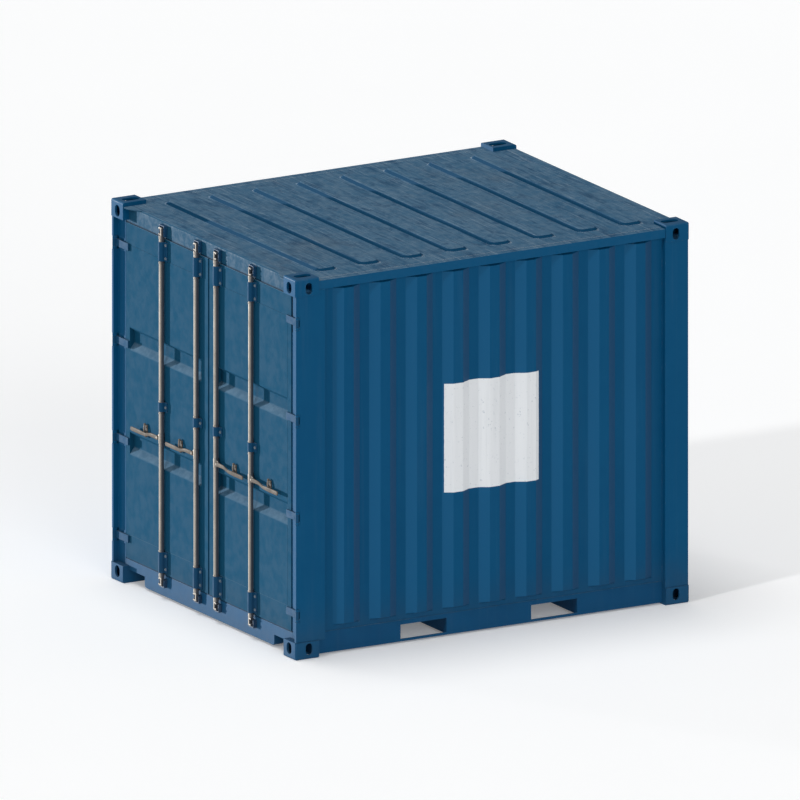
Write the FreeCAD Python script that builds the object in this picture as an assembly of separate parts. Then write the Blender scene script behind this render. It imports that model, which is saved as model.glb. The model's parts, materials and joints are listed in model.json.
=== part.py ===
"""A ten-foot steel freight container with two double-rod doors.

Millimetres.  X runs along the container, with the doors at -X.  Y runs across
it and Z points up.  The origin is the middle of the footprint, at ground level.
Most shapes are placed by three distances: `end`, from the face of the nearest
end's corner castings inwards, `side`, from the face of the nearest side's
castings inwards, and the height Z.
"""
import FreeCAD, Part
import math
import os

# Overall size, over the corner castings
LENGTH = 2991.0
WIDTH = 2438.0
HEIGHT = 2591.0

# Corner castings
CASTING_LENGTH = 178.0
CASTING_WIDTH = 162.0
CASTING_HEIGHT = 118.0
CASTING_WALL = 16.0
CASTING_PLATE = 28.0
CASTING_ROUND = 13.0
SLOT_LENGTH = 124.5
SLOT_WIDTH = 63.5
SLOT_TO_END = 101.5
SLOT_TO_SIDE = 89.0
END_HOLE_HEIGHT = 79.0
SIDE_HOLE_WIDTH = 51.0
HOLE_ABOVE_BASE = 68.0

# Corner posts
POST_SETBACK = 6.0
POST_STEEL = 6.0
DOOR_POST_LENGTH = 227.0
DOOR_POST_WIDTH = 121.0
DOOR_POST_NIB = 28.0
DOOR_POST_SETBACK = 5.0
DOOR_POST_TAPER = 150.0
POST_THROAT = 60.0
REAR_POST_LENGTH = 181.0
REAR_POST_WIDTH = 150.0

# Rails, header and sill
TOP_RAIL = 60.0
ROOF_DROP = 27.0
RAIL_STEEL = 4.5
BOTTOM_RAIL_SETBACK = 48.0
BOTTOM_RAIL_FLANGE = 50.0
BOTTOM_RAIL_BASE = 12.0
BOTTOM_RAIL_TOP = 158.0
HEADER_FACE = 48.0
HEADER_DEPTH = 100.0
HEADER_GAP = 9.0
HEADER_ROUND = 14.0
GUSSET_THICKNESS = 6.0
GUSSET_REACH = 150.0
GUSSET_SETBACK = 4.0
SILL_DEPTH = 72.0
SILL_BASE = 15.0
SILL_NOTCH_TOP = 88.0
SILL_NOTCH_WIDTH = 204.0
SILL_ROUND = 24.0
REAR_RAIL_SETBACK = 10.0

# Sheets
SHEET = 2.0
WALL_BASE_SETBACK = 48.0
WALL_CREST_SETBACK = 10.0
CREST_COUNT = 9
CREST_PITCH = 277.0
CREST_FLAT = 72.0
CREST_SLOPE = 68.0
CREST_BOTTOM = 190.0
CREST_END_RUN = 60.0
CREST_TOP_GAP = 32.0
END_CREST_COUNT = 7
RIB_COUNT = 8
RIB_PITCH = 331.6
RIB_FLAT = 134.0
RIB_SLOPE = 16.0
RIB_HEIGHT = 18.0
RIB_SIDE = 200.0
FIRST_RIB = 280.0
HOLLOW_FOOT_SHARE = 0.2
HOLLOW_TOP_SHARE = 0.6
HOLLOW_BELOW = 0.5

# Floor and underframe
FLOOR_THICKNESS = 28.0
FLOOR_GAP = 1.0
CROSS_MEMBER_HEIGHT = 100.0
CROSS_MEMBER_FLANGE = 45.0
POCKET_WIDTH = 350.0
POCKET_SPREAD = 992.0
POCKET_BASE = 29.0
POCKET_STEEL = 4.0

# Doors
DOOR_FACE = 42.0
DOOR_DEPTH = 50.0
DOOR_EDGE_GAP = 11.0
DOOR_SEAM_GAP = 14.0
DOOR_BASE = 167.0
DOOR_TOP_GAP = 21.0
STILE_WIDTH = 50.0
INNER_STILE_WIDTH = 92.0
TOP_DOOR_RAIL = 147.0
BOTTOM_DOOR_RAIL = 165.0
PANEL_SHEET = 3.0
BAND_TOPS = (1033.0, 1745.0)
BAND_LEDGE = 12.0
BAND_BACK = 62.0
BAND_SLOPE = 75.0
BAND_DEPTH = 36.0
GASKET_LIP = 5.0
GASKET_OVERHANG = 4.0
GASKET_DEPTH = 22.0
GASKET_FROM_FACE = 14.0

# Hinges
HINGE_END = 18.0
HINGE_SIDE = 14.0
HINGE_HEIGHTS = (302.0, 965.0, 1628.0, 2290.0)
HINGE_HEIGHT = 86.0
HINGE_LUG = 17.0
LUG_HALF_WIDTH = 7.0
HINGE_GAP = 1.0
BARREL_RADIUS = 11.0
PIN_RADIUS = 6.0
PIN_CLEARANCE = 0.5
BLADE_THICKNESS = 13.0
BLADE_LAP = 46.0
NOTCH_CLEARANCE = 6.0

# Lock rods, with their cams and keepers
ROD_CLEARANCE = 3.0
ROD_RADIUS = 16.5
ROD_OFFSETS = (131.0, 588.0)
ROD_BOTTOM = 150.0
ROD_PAST_DOOR = 16.0
CAM_BOTTOM = 94.0
CAM_PAST_DOOR = 82.0
CAM_HEIGHT = 82.0
CAM_BACK = 15.0
CAM_REACH = 17.0
CAM_THICKNESS = 14.0
CAM_JAW = 19.0
CLEARANCE = 5.0
KEEPER_CHEEK = 10.0
KEEPER_PLATE = 8.0
KEEPER_REACH = 26.0

# Rod guides
GUIDE_STEEL = 4.0
GUIDE_CLEARANCE = 1.0
GUIDE_FOOT = 30.0
GUIDE_FOOT_STEEL = 8.0
GUIDE_SPANS = ((182.0, 323.0), (1279.0, 1342.0), (2304.0, 2436.0))

# Handles and their catches
HANDLE_HEIGHT = 1095.0
HANDLE_PIVOT = 32.0
HANDLE_LENGTH = 380.0
HANDLE_FRONT = 3.0
HANDLE_THICKNESS = 10.0
HANDLE_DEPTH = 28.0
HANDLE_CRANK = 34.0
HANDLE_BENDS = (0.23, 0.46)
HANDLE_BEND_SHIFT = 0.015
HUB_WALL = 2.0
HUB_HEIGHT = 62.0
HUB_LUG_THICKNESS = 12.0
HUB_LUG_DEPTH = 30.0
HANDLE_PIN_RADIUS = 5.0
CATCH_DISTANCE = 225.0
CATCH_WIDTH = 44.0
CATCH_BASE_STEEL = 6.0
CATCH_BOTTOM = 1050.0
CATCH_TOP = 1178.0
CATCH_EAR = 14.0

# Two places nearer than this are the same
SAME_PLACE = 0.01

NEAR = -1
FAR = 1
DOOR_END = -1
REAR_END = 1

ROOF_HEIGHT = HEIGHT - ROOF_DROP
TOP_RAIL_BASE = ROOF_HEIGHT - TOP_RAIL
FLOOR_BASE = BOTTOM_RAIL_TOP - FLOOR_THICKNESS
POST_BASE = CASTING_HEIGHT
POST_TOP = HEIGHT - CASTING_HEIGHT
DOOR_POST_RECESS = DOOR_FACE + DOOR_POST_SETBACK
DOOR_TOP = POST_TOP - DOOR_TOP_GAP
HEADER_BASE = DOOR_TOP + HEADER_GAP
ROD_END = DOOR_FACE - ROD_RADIUS - ROD_CLEARANCE
ROD_TOP = DOOR_TOP + ROD_PAST_DOOR
CAM_TOP = DOOR_TOP + CAM_PAST_DOOR
HUB_RADIUS = ROD_RADIUS + HUB_WALL
DOOR_SIDE = DOOR_POST_WIDTH + DOOR_EDGE_GAP
HALF_WIDTH = WIDTH / 2


def at(which_end, end, which_side, side, z):
    """Point from the distances to an end face and a side face."""
    x = which_end * (LENGTH / 2 - end)
    y = which_side * (HALF_WIDTH - side)
    return FreeCAD.Vector(x, y, z)


def block(corner, opposite):
    """Box between two opposite corners."""
    low = FreeCAD.Vector(*[min(a, b) for a, b in zip(corner, opposite)])
    size = [abs(a - b) for a, b in zip(corner, opposite)]
    return Part.makeBox(size[0], size[1], size[2], low)


def corner_block(which_end, which_side, ends, sides, heights):
    """Box given by its spans in end distance, side distance and height."""
    return block(at(which_end, ends[0], which_side, sides[0], heights[0]),
                 at(which_end, ends[1], which_side, sides[1], heights[1]))


def across(which_end, ends, side, heights):
    """Box that runs from one side distance to the same distance on the other side."""
    return block(at(which_end, ends[0], NEAR, side, heights[0]), at(which_end, ends[1], FAR, side, heights[1]))


def polygon_face(points):
    """Flat face inside a closed loop of points."""
    return Part.Face(Part.makePolygon(list(points) + [points[0]]))


def cylinder(radius, height, base, axis=FreeCAD.Vector(0, 0, 1)):
    return Part.makeCylinder(radius, height, base, axis)


def joined(shapes):
    """One solid from shapes that touch or overlap."""
    result = shapes[0].multiFuse(shapes[1:]) if len(shapes) > 1 else shapes[0]
    return result.removeSplitter()


def save(name, shapes):
    """Write one node; the shapes are separate solids of the same kind of piece."""
    solids = [solid for shape in shapes for solid in shape.Solids]
    node = solids[0] if len(solids) == 1 else Part.makeCompound(solids)
    node.exportStep("parts/" + name + ".step")


# ------------------------------------------------------------ corner castings
def slot_prism(centre, along, across_axis, through, length, width, depth):
    """Straight-sided hole with round ends; `depth` reaches both ways from the centre."""
    straight = (length - width) / 2
    start = centre - through * depth
    ends = [cylinder(width / 2, 2 * depth, start + along * offset, through)
            for offset in (-straight, straight)]
    corners = [(-straight, -width / 2), (straight, -width / 2), (straight, width / 2), (-straight, width / 2)]
    outline = [start + along * a + across_axis * b for a, b in corners]
    middle = polygon_face(outline).extrude(through * (2 * depth))
    return joined([middle] + ends)


def corner_casting(which_end, which_side, is_top):
    """Hollow cast corner with an opening in each of its three outer faces."""
    base = HEIGHT - CASTING_HEIGHT if is_top else 0.0
    body = corner_block(which_end, which_side, (0, CASTING_LENGTH), (0, CASTING_WIDTH),
                        (base, base + CASTING_HEIGHT))
    outer_z = base + CASTING_HEIGHT if is_top else base
    outer = at(which_end, 0, which_side, 0, outer_z)
    outer_edges = [edge for edge in body.Edges
                   if any(vertex.Point.distanceToPoint(outer) < SAME_PLACE for vertex in edge.Vertexes)]
    body = body.makeFillet(CASTING_ROUND, outer_edges)
    hollow = corner_block(which_end, which_side, (CASTING_WALL, CASTING_LENGTH - CASTING_WALL),
                          (CASTING_WALL, CASTING_WIDTH - CASTING_WALL),
                          (base + CASTING_PLATE / 2, base + CASTING_HEIGHT - CASTING_PLATE / 2))
    x_axis, y_axis, z_axis = FreeCAD.Vector(1, 0, 0), FreeCAD.Vector(0, 1, 0), FreeCAD.Vector(0, 0, 1)
    hole_z = outer_z - HOLE_ABOVE_BASE if is_top else HOLE_ABOVE_BASE
    flat_slot = slot_prism(at(which_end, SLOT_TO_END, which_side, SLOT_TO_SIDE, outer_z),
                           x_axis, y_axis, z_axis, SLOT_LENGTH, SLOT_WIDTH, CASTING_PLATE + 1)
    end_slot = slot_prism(at(which_end, 0, which_side, SLOT_TO_SIDE, hole_z),
                          z_axis, y_axis, x_axis, END_HOLE_HEIGHT, SLOT_WIDTH, CASTING_WALL + 1)
    side_slot = slot_prism(at(which_end, SLOT_TO_END, which_side, 0, hole_z),
                           z_axis, x_axis, y_axis, END_HOLE_HEIGHT, SIDE_HOLE_WIDTH, CASTING_WALL + 1)
    return body.cut([hollow, flat_slot, end_slot, side_slot])


def make_castings():
    corners = [(end, side) for end in (DOOR_END, REAR_END) for side in (NEAR, FAR)]
    save("top_corner_castings", [corner_casting(end, side, True) for end, side in corners])
    save("bottom_corner_castings", [corner_casting(end, side, False) for end, side in corners])


# ---------------------------------------------------------------- posts
def hollow_prism(points, wall, base, top):
    """Closed thin-walled section standing from base to top."""
    outline = Part.makePolygon(points + [points[0]])
    inner = outline.makeOffset2D(-wall, 2)
    if inner.BoundBox.DiagonalLength > outline.BoundBox.DiagonalLength:
        inner = outline.makeOffset2D(wall, 2)
    height = FreeCAD.Vector(0, 0, top - base)
    return Part.Face(outline).extrude(height).cut(Part.Face(inner).extrude(height))


def door_post(which_side):
    """Hollow post up to the top rail, with an outer nib and a recess beside it for the hinges."""
    section = [(POST_SETBACK, POST_SETBACK), (POST_SETBACK, DOOR_POST_NIB), (DOOR_POST_RECESS, DOOR_POST_NIB),
               (DOOR_POST_RECESS, DOOR_POST_WIDTH), (DOOR_POST_TAPER, DOOR_POST_WIDTH),
               (DOOR_POST_LENGTH, POST_THROAT), (DOOR_POST_LENGTH, POST_SETBACK)]
    points = [at(DOOR_END, end, which_side, side, POST_BASE) for end, side in section]
    post = hollow_prism(points, POST_STEEL, POST_BASE, TOP_RAIL_BASE)
    notch_depth = HINGE_END + BARREL_RADIUS + NOTCH_CLEARANCE
    half = HINGE_HEIGHT / 2 + HINGE_GAP
    notches = [casting_space(DOOR_END, which_side, True)]
    for z in HINGE_HEIGHTS:
        span = (z - half, z + half)
        notches.append(corner_block(DOOR_END, which_side, (0, notch_depth), (0, DOOR_POST_NIB + 1), span))
        blade_way = (POST_SETBACK + POST_STEEL, DOOR_POST_NIB + 1)
        notches.append(corner_block(DOOR_END, which_side, (0, DOOR_POST_RECESS), blade_way, span))
    return post.cut(notches)


def rear_post(which_side):
    section = [(POST_SETBACK, POST_SETBACK), (POST_SETBACK, REAR_POST_WIDTH), (POST_THROAT, REAR_POST_WIDTH),
               (REAR_POST_LENGTH, POST_THROAT), (REAR_POST_LENGTH, POST_SETBACK)]
    points = [at(REAR_END, end, which_side, side, POST_BASE) for end, side in section]
    post = hollow_prism(points, POST_STEEL, POST_BASE, TOP_RAIL_BASE)
    return post.cut(casting_space(REAR_END, which_side, True))


def post_space(which_end, which_side):
    """The room that a post takes, with its hollow, for cutting what meets it."""
    length = DOOR_POST_LENGTH if which_end == DOOR_END else REAR_POST_LENGTH
    width = DOOR_POST_WIDTH if which_end == DOOR_END else REAR_POST_WIDTH
    return corner_block(which_end, which_side, (0, length), (0, width), (POST_BASE, POST_TOP))


def casting_space(which_end, which_side, is_top):
    heights = (POST_TOP, HEIGHT) if is_top else (0, POST_BASE)
    return corner_block(which_end, which_side, (0, CASTING_LENGTH), (0, CASTING_WIDTH), heights)


def corner_spaces(which_end, is_top):
    spaces = [casting_space(which_end, side, is_top) for side in (NEAR, FAR)]
    return spaces + [post_space(which_end, side) for side in (NEAR, FAR)]


def make_posts():
    for name, side in (("right", NEAR), ("left", FAR)):
        save(name + "_door_post", [door_post(side)])
        save(name + "_rear_post", [rear_post(side)])


# ---------------------------------------------------------------- rails
def tube(outer, wall, open_axis):
    """Box made hollow, open at both ends along one axis (0 for X, 1 for Y)."""
    bounds = outer.BoundBox
    low = [bounds.XMin + wall, bounds.YMin + wall, bounds.ZMin + wall]
    high = [bounds.XMax - wall, bounds.YMax - wall, bounds.ZMax - wall]
    low[open_axis] -= 2 * wall
    high[open_axis] += 2 * wall
    return outer.cut(block(FreeCAD.Vector(*low), FreeCAD.Vector(*high)))


def top_side_rail(which_side):
    start = at(DOOR_END, CASTING_LENGTH, which_side, POST_SETBACK, TOP_RAIL_BASE)
    finish = at(REAR_END, CASTING_LENGTH, which_side, POST_SETBACK + TOP_RAIL, ROOF_HEIGHT)
    return tube(block(start, finish), RAIL_STEEL, 0)


def pocket_centres():
    return (-POCKET_SPREAD / 2, POCKET_SPREAD / 2)


def bottom_side_rail(which_side):
    """Channel with its flanges inwards, pierced for the forklift pockets."""
    inner = BOTTOM_RAIL_SETBACK + BOTTOM_RAIL_FLANGE
    start = at(DOOR_END, CASTING_LENGTH, which_side, BOTTOM_RAIL_SETBACK, BOTTOM_RAIL_BASE)
    finish = at(REAR_END, CASTING_LENGTH, which_side, inner, BOTTOM_RAIL_TOP)
    web_inside = BOTTOM_RAIL_SETBACK + RAIL_STEEL
    hollow_start = at(DOOR_END, 0, which_side, web_inside, BOTTOM_RAIL_BASE + RAIL_STEEL)
    hollow_finish = at(REAR_END, 0, which_side, inner + 1, BOTTOM_RAIL_TOP - RAIL_STEEL)
    openings = []
    outside_y = which_side * (HALF_WIDTH - BOTTOM_RAIL_SETBACK + 1)
    inside_y = which_side * (HALF_WIDTH - inner)
    for centre in pocket_centres():
        low = FreeCAD.Vector(centre - POCKET_WIDTH / 2, outside_y, POCKET_BASE)
        high = FreeCAD.Vector(centre + POCKET_WIDTH / 2, inside_y, FLOOR_BASE - POCKET_STEEL)
        openings.append(block(low, high))
    posts = [post_space(end, which_side) for end in (DOOR_END, REAR_END)]
    return block(start, finish).cut([block(hollow_start, hollow_finish)] + openings + posts)


def door_header():
    """Beam over the doors, its upper front edge rounded, with a gusset plate at each corner."""
    outer = across(DOOR_END, (HEADER_FACE, HEADER_FACE + HEADER_DEPTH), DOOR_POST_WIDTH,
                   (HEADER_BASE, ROOF_HEIGHT))
    front_x = -LENGTH / 2 + HEADER_FACE
    edges = [edge for edge in outer.Edges
             if abs(edge.CenterOfMass.x - front_x) < SAME_PLACE
             and abs(edge.CenterOfMass.z - ROOF_HEIGHT) < SAME_PLACE]
    beam = tube(outer.makeFillet(HEADER_ROUND, edges), HEADER_ROUND / 2, 1)
    plates = []
    for side in (NEAR, FAR):
        base = ROOF_HEIGHT - GUSSET_THICKNESS
        reach = CASTING_WIDTH + GUSSET_REACH
        inner_end = HEADER_FACE + HEADER_ROUND
        corners = [(GUSSET_SETBACK, CASTING_WIDTH), (GUSSET_SETBACK, CASTING_WIDTH + GUSSET_REACH / 3),
                   (HEADER_FACE, reach), (inner_end, reach), (inner_end, CASTING_WIDTH)]
        outline = [at(DOOR_END, end, side, offset, base) for end, offset in corners]
        plates.append(polygon_face(outline).extrude(FreeCAD.Vector(0, 0, GUSSET_THICKNESS)))
    return joined([beam] + plates).cut(corner_spaces(DOOR_END, True))


def door_sill():
    """Beam under the doors, cut away beside the castings, with round lower corners."""
    ends = (HEADER_FACE, HEADER_FACE + SILL_DEPTH)
    foot_side = CASTING_WIDTH + SILL_NOTCH_WIDTH
    upper = across(DOOR_END, ends, DOOR_POST_WIDTH, (SILL_NOTCH_TOP, BOTTOM_RAIL_TOP))
    lower = across(DOOR_END, ends, foot_side, (SILL_BASE, SILL_NOTCH_TOP))
    corner_edges = [edge for edge in lower.Edges if abs(edge.CenterOfMass.z - SILL_BASE) < SAME_PLACE
                    and abs(abs(edge.CenterOfMass.y) - (HALF_WIDTH - foot_side)) < SAME_PLACE]
    beam = joined([upper, lower.makeFillet(SILL_ROUND, corner_edges)])
    hollow = across(DOOR_END, (ends[0] + RAIL_STEEL, ends[1] + 1), foot_side + SILL_ROUND,
                    (SILL_BASE + RAIL_STEEL, BOTTOM_RAIL_TOP - RAIL_STEEL))
    return beam.cut([hollow] + corner_spaces(DOOR_END, False))


def rear_beam(heights, is_top):
    setback = POST_SETBACK if is_top else REAR_RAIL_SETBACK
    outer = across(REAR_END, (setback, setback + TOP_RAIL), REAR_POST_WIDTH, heights)
    return tube(outer, RAIL_STEEL, 1).cut(corner_spaces(REAR_END, is_top))


def make_rails():
    for name, side in (("right", NEAR), ("left", FAR)):
        save(name + "_top_rail", [top_side_rail(side)])
        save(name + "_bottom_rail", [bottom_side_rail(side)])
    save("door_header", [door_header()])
    save("door_sill", [door_sill()])
    save("rear_top_rail", [rear_beam((TOP_RAIL_BASE, ROOF_HEIGHT), True)])
    save("rear_bottom_rail", [rear_beam((SILL_BASE, BOTTOM_RAIL_TOP), False)])


# ---------------------------------------------------------------- sheets
def frustum(base_points, top_points):
    """Solid between two four-sided outlines."""
    wires = [Part.makePolygon(list(points) + [points[0]]) for points in (base_points, top_points)]
    return Part.makeLoft(wires, True, True)


def pressed_sheet(place, span, rise, thickness, crests):
    """Flat sheet with pressed crests, the same thickness all over.

    `place` turns (along, up, out) into a point, `span` is the sheet's two
    ranges, and each crest is a base rectangle and a smaller flat rectangle.
    """
    def rectangle(ranges, out):
        (a0, a1), (b0, b1) = ranges
        return [place(a0, b0, out), place(a1, b0, out), place(a1, b1, out), place(a0, b1, out)]

    def grown(ranges, amount):
        return tuple((low - amount, high + amount) for low, high in ranges)

    sheet = block(place(span[0][0], span[1][0], 0), place(span[0][1], span[1][1], -thickness))
    outer = [frustum(rectangle(base, 0), rectangle(flat, rise)) for base, flat in crests]
    # The inner faces lie one thickness inside the outer ones
    inner = [frustum(rectangle(grown(base, thickness * HOLLOW_FOOT_SHARE), -thickness - HOLLOW_BELOW),
                     rectangle(grown(flat, -thickness * HOLLOW_TOP_SHARE), rise - thickness))
             for base, flat in crests]
    body = sheet.multiFuse(outer)
    return body.cut(inner)


def crest_shapes(centres, flat, slope, low, high, run):
    shapes = []
    for centre in centres:
        base = ((centre - flat / 2 - slope, centre + flat / 2 + slope), (low, high))
        top = ((centre - flat / 2, centre + flat / 2), (low + run, high - run))
        shapes.append((base, top))
    return shapes


def spaced(count, pitch, middle=0.0):
    first = middle - pitch * (count - 1) / 2
    return [first + pitch * index for index in range(count)]


def side_wall(which_side):
    def place(x, z, out):
        return FreeCAD.Vector(x, which_side * (HALF_WIDTH - WALL_BASE_SETBACK + out), z)

    start = -LENGTH / 2 + DOOR_POST_LENGTH
    finish = LENGTH / 2 - REAR_POST_LENGTH
    crests = crest_shapes(spaced(CREST_COUNT, CREST_PITCH, (start + finish) / 2), CREST_FLAT, CREST_SLOPE,
                          CREST_BOTTOM, TOP_RAIL_BASE - CREST_TOP_GAP, CREST_END_RUN)
    return pressed_sheet(place, ((start, finish), (BOTTOM_RAIL_TOP, TOP_RAIL_BASE)),
                         WALL_BASE_SETBACK - WALL_CREST_SETBACK, SHEET, crests)


def end_wall():
    def place(y, z, out):
        return FreeCAD.Vector(LENGTH / 2 - WALL_BASE_SETBACK + out, y, z)

    half = HALF_WIDTH - REAR_POST_WIDTH
    crests = crest_shapes(spaced(END_CREST_COUNT, CREST_PITCH), CREST_FLAT, CREST_SLOPE,
                          CREST_BOTTOM, TOP_RAIL_BASE - CREST_TOP_GAP, CREST_END_RUN)
    sheet = pressed_sheet(place, ((-half, half), (BOTTOM_RAIL_TOP, TOP_RAIL_BASE)),
                          WALL_BASE_SETBACK - WALL_CREST_SETBACK, SHEET, crests)
    return sheet.cut([casting_space(REAR_END, side, True) for side in (NEAR, FAR)])


def roof():
    def place(x, y, out):
        return FreeCAD.Vector(x, y, ROOF_HEIGHT + out)

    start = -LENGTH / 2 + HEADER_FACE + HEADER_DEPTH
    finish = LENGTH / 2 - POST_SETBACK - TOP_RAIL
    half = HALF_WIDTH - POST_SETBACK - TOP_RAIL
    first = -LENGTH / 2 + FIRST_RIB + RIB_FLAT / 2 + RIB_SLOPE
    centres = [first + RIB_PITCH * index for index in range(RIB_COUNT)]
    reach = HALF_WIDTH - RIB_SIDE
    crests = crest_shapes(centres, RIB_FLAT, RIB_SLOPE, -reach, reach, 2 * RIB_SLOPE)
    sheet = pressed_sheet(place, ((start, finish), (-half, half)), RIB_HEIGHT, SHEET, crests)
    corners = [casting_space(end, side, True) for end in (DOOR_END, REAR_END) for side in (NEAR, FAR)]
    return sheet.cut(corners)


def make_sheets():
    save("right_wall", [side_wall(NEAR)])
    save("left_wall", [side_wall(FAR)])
    save("end_wall", [end_wall()])
    save("roof", [roof()])


# ---------------------------------------------------------------- floor
def floor_board():
    """Plywood deck between the bottom rails, notched round the posts and castings."""
    side = BOTTOM_RAIL_SETBACK + BOTTOM_RAIL_FLANGE + FLOOR_GAP
    start = at(DOOR_END, HEADER_FACE + SILL_DEPTH, NEAR, side, FLOOR_BASE)
    finish = at(REAR_END, REAR_RAIL_SETBACK + TOP_RAIL, FAR, side, BOTTOM_RAIL_TOP)
    corners = corner_spaces(DOOR_END, False) + corner_spaces(REAR_END, False)
    return block(start, finish).cut(corners)


def cross_member(x):
    """Channel across the underframe, with its web at x."""
    half = HALF_WIDTH - BOTTOM_RAIL_SETBACK - RAIL_STEEL
    base = FLOOR_BASE - CROSS_MEMBER_HEIGHT
    outer = block(FreeCAD.Vector(x, -half, base), FreeCAD.Vector(x + CROSS_MEMBER_FLANGE, half, FLOOR_BASE))
    hollow = block(FreeCAD.Vector(x + RAIL_STEEL, -half, base + RAIL_STEEL),
                   FreeCAD.Vector(x + CROSS_MEMBER_FLANGE, half, FLOOR_BASE - RAIL_STEEL))
    return outer.cut(hollow)


def forklift_pocket(centre):
    """Tunnel right across under the floor, open below."""
    half = HALF_WIDTH - BOTTOM_RAIL_SETBACK - RAIL_STEEL
    width = POCKET_WIDTH / 2
    base = BOTTOM_RAIL_BASE + RAIL_STEEL
    outer = block(FreeCAD.Vector(centre - width - POCKET_STEEL, -half, base),
                  FreeCAD.Vector(centre + width + POCKET_STEEL, half, FLOOR_BASE))
    hollow = block(FreeCAD.Vector(centre - width, -half, base),
                   FreeCAD.Vector(centre + width, half, FLOOR_BASE - POCKET_STEEL))
    return outer.cut(hollow)


def cross_member_places():
    """Webs spread over the three stretches that the two pockets leave."""
    outer_low = -LENGTH / 2 + DOOR_POST_LENGTH
    outer_high = LENGTH / 2 - REAR_POST_LENGTH - CROSS_MEMBER_FLANGE
    edge = POCKET_SPREAD / 2 + POCKET_WIDTH / 2 + 2 * CROSS_MEMBER_FLANGE
    inner = POCKET_SPREAD / 2 - POCKET_WIDTH / 2 - 2 * CROSS_MEMBER_FLANGE
    places = [outer_low, (outer_low - edge) / 2, -edge, -inner, -CROSS_MEMBER_FLANGE / 2]
    return places + [inner - CROSS_MEMBER_FLANGE, edge, (edge + outer_high) / 2, outer_high]


def make_underframe():
    save("floor", [floor_board()])
    save("cross_members", [cross_member(x) for x in cross_member_places()])
    save("forklift_pockets", [forklift_pocket(centre) for centre in pocket_centres()])


# ---------------------------------------------------------------- doors
def door_part(which_side, ends, sides, heights):
    return corner_block(DOOR_END, which_side, ends, sides, heights)


def door_frame(which_side):
    """Rectangle of square bars round a door."""
    ends = (DOOR_FACE, DOOR_FACE + DOOR_DEPTH)
    seam = HALF_WIDTH - DOOR_SEAM_GAP / 2
    outer = door_part(which_side, ends, (DOOR_SIDE, seam), (DOOR_BASE, DOOR_TOP))
    opening = door_part(which_side, (ends[0] - 1, ends[1] + 1),
                        (DOOR_SIDE + STILE_WIDTH, seam - INNER_STILE_WIDTH),
                        (DOOR_BASE + BOTTOM_DOOR_RAIL, DOOR_TOP - TOP_DOOR_RAIL))
    return outer.cut(opening)


def door_sheet(which_side):
    """Flat sheet in the frame, pressed in along two level bands."""
    low = DOOR_BASE + BOTTOM_DOOR_RAIL
    high = DOOR_TOP - TOP_DOOR_RAIL
    front = DOOR_FACE
    profile = [(front, low)]
    for band_top in BAND_TOPS:
        back_top = band_top - BAND_LEDGE
        back_low = back_top - BAND_BACK
        slope_low = back_low - BAND_SLOPE
        deep = front + BAND_DEPTH
        profile += [(front, slope_low), (deep, back_low), (deep, back_top), (front, band_top)]
    profile.append((front, high))
    behind = [(end + PANEL_SHEET, z) for end, z in reversed(profile)]
    side = DOOR_SIDE + STILE_WIDTH
    width = HALF_WIDTH - DOOR_SEAM_GAP / 2 - INNER_STILE_WIDTH - side
    points = [at(DOOR_END, end, which_side, side, z) for end, z in profile + behind]
    return polygon_face(points).extrude(FreeCAD.Vector(0, -which_side * width, 0))


def door_gasket(which_side):
    """Rubber seal all round the edge of a door."""
    ends = (DOOR_FACE + GASKET_FROM_FACE, DOOR_FACE + GASKET_FROM_FACE + GASKET_DEPTH)
    seam = HALF_WIDTH - DOOR_SEAM_GAP / 2
    lip = min(GASKET_LIP, (DOOR_SEAM_GAP - CLEARANCE) / 2)
    heights = (DOOR_BASE - GASKET_OVERHANG, DOOR_TOP + GASKET_OVERHANG)
    outer = door_part(which_side, ends, (DOOR_SIDE - GASKET_LIP, seam + lip), heights)
    inner = door_part(which_side, (ends[0] - 1, ends[1] + 1), (DOOR_SIDE, seam), (DOOR_BASE, DOOR_TOP))
    return outer.cut(inner)


def hinge_blade(which_side, z):
    """Barrel on the pin with a straight blade across to the door."""
    half = HINGE_HEIGHT / 2 - HINGE_LUG - HINGE_GAP
    pin = at(DOOR_END, HINGE_END, which_side, HINGE_SIDE, z - half)
    barrel = cylinder(BARREL_RADIUS, 2 * half, pin)
    blade = door_part(which_side, (DOOR_FACE - BLADE_THICKNESS, DOOR_FACE),
                      (HINGE_SIDE, DOOR_SIDE + BLADE_LAP), (z - half, z + half))
    root = door_part(which_side, (HINGE_END, DOOR_FACE - BLADE_THICKNESS),
                     (HINGE_SIDE, HINGE_SIDE + BARREL_RADIUS), (z - half, z + half))
    bore = cylinder(PIN_RADIUS + PIN_CLEARANCE, 2 * half, pin)
    return joined([barrel, blade, root]).cut(bore)


def hinge_lugs(which_side, z):
    """Two lugs in the post's notch, with the pin between them."""
    half = HINGE_HEIGHT / 2
    pieces = []
    notch = HINGE_END + BARREL_RADIUS + NOTCH_CLEARANCE
    for base in (z - half, z + half - HINGE_LUG):
        pin = at(DOOR_END, HINGE_END, which_side, HINGE_SIDE, base)
        pieces.append(cylinder(BARREL_RADIUS, HINGE_LUG, pin))
        pieces.append(door_part(which_side, (HINGE_END, notch), (HINGE_SIDE - LUG_HALF_WIDTH, DOOR_POST_NIB),
                                (base, base + HINGE_LUG)))
    pieces.append(cylinder(PIN_RADIUS, HINGE_HEIGHT, at(DOOR_END, HINGE_END, which_side, HINGE_SIDE, z - half)))
    return joined(pieces)


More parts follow.
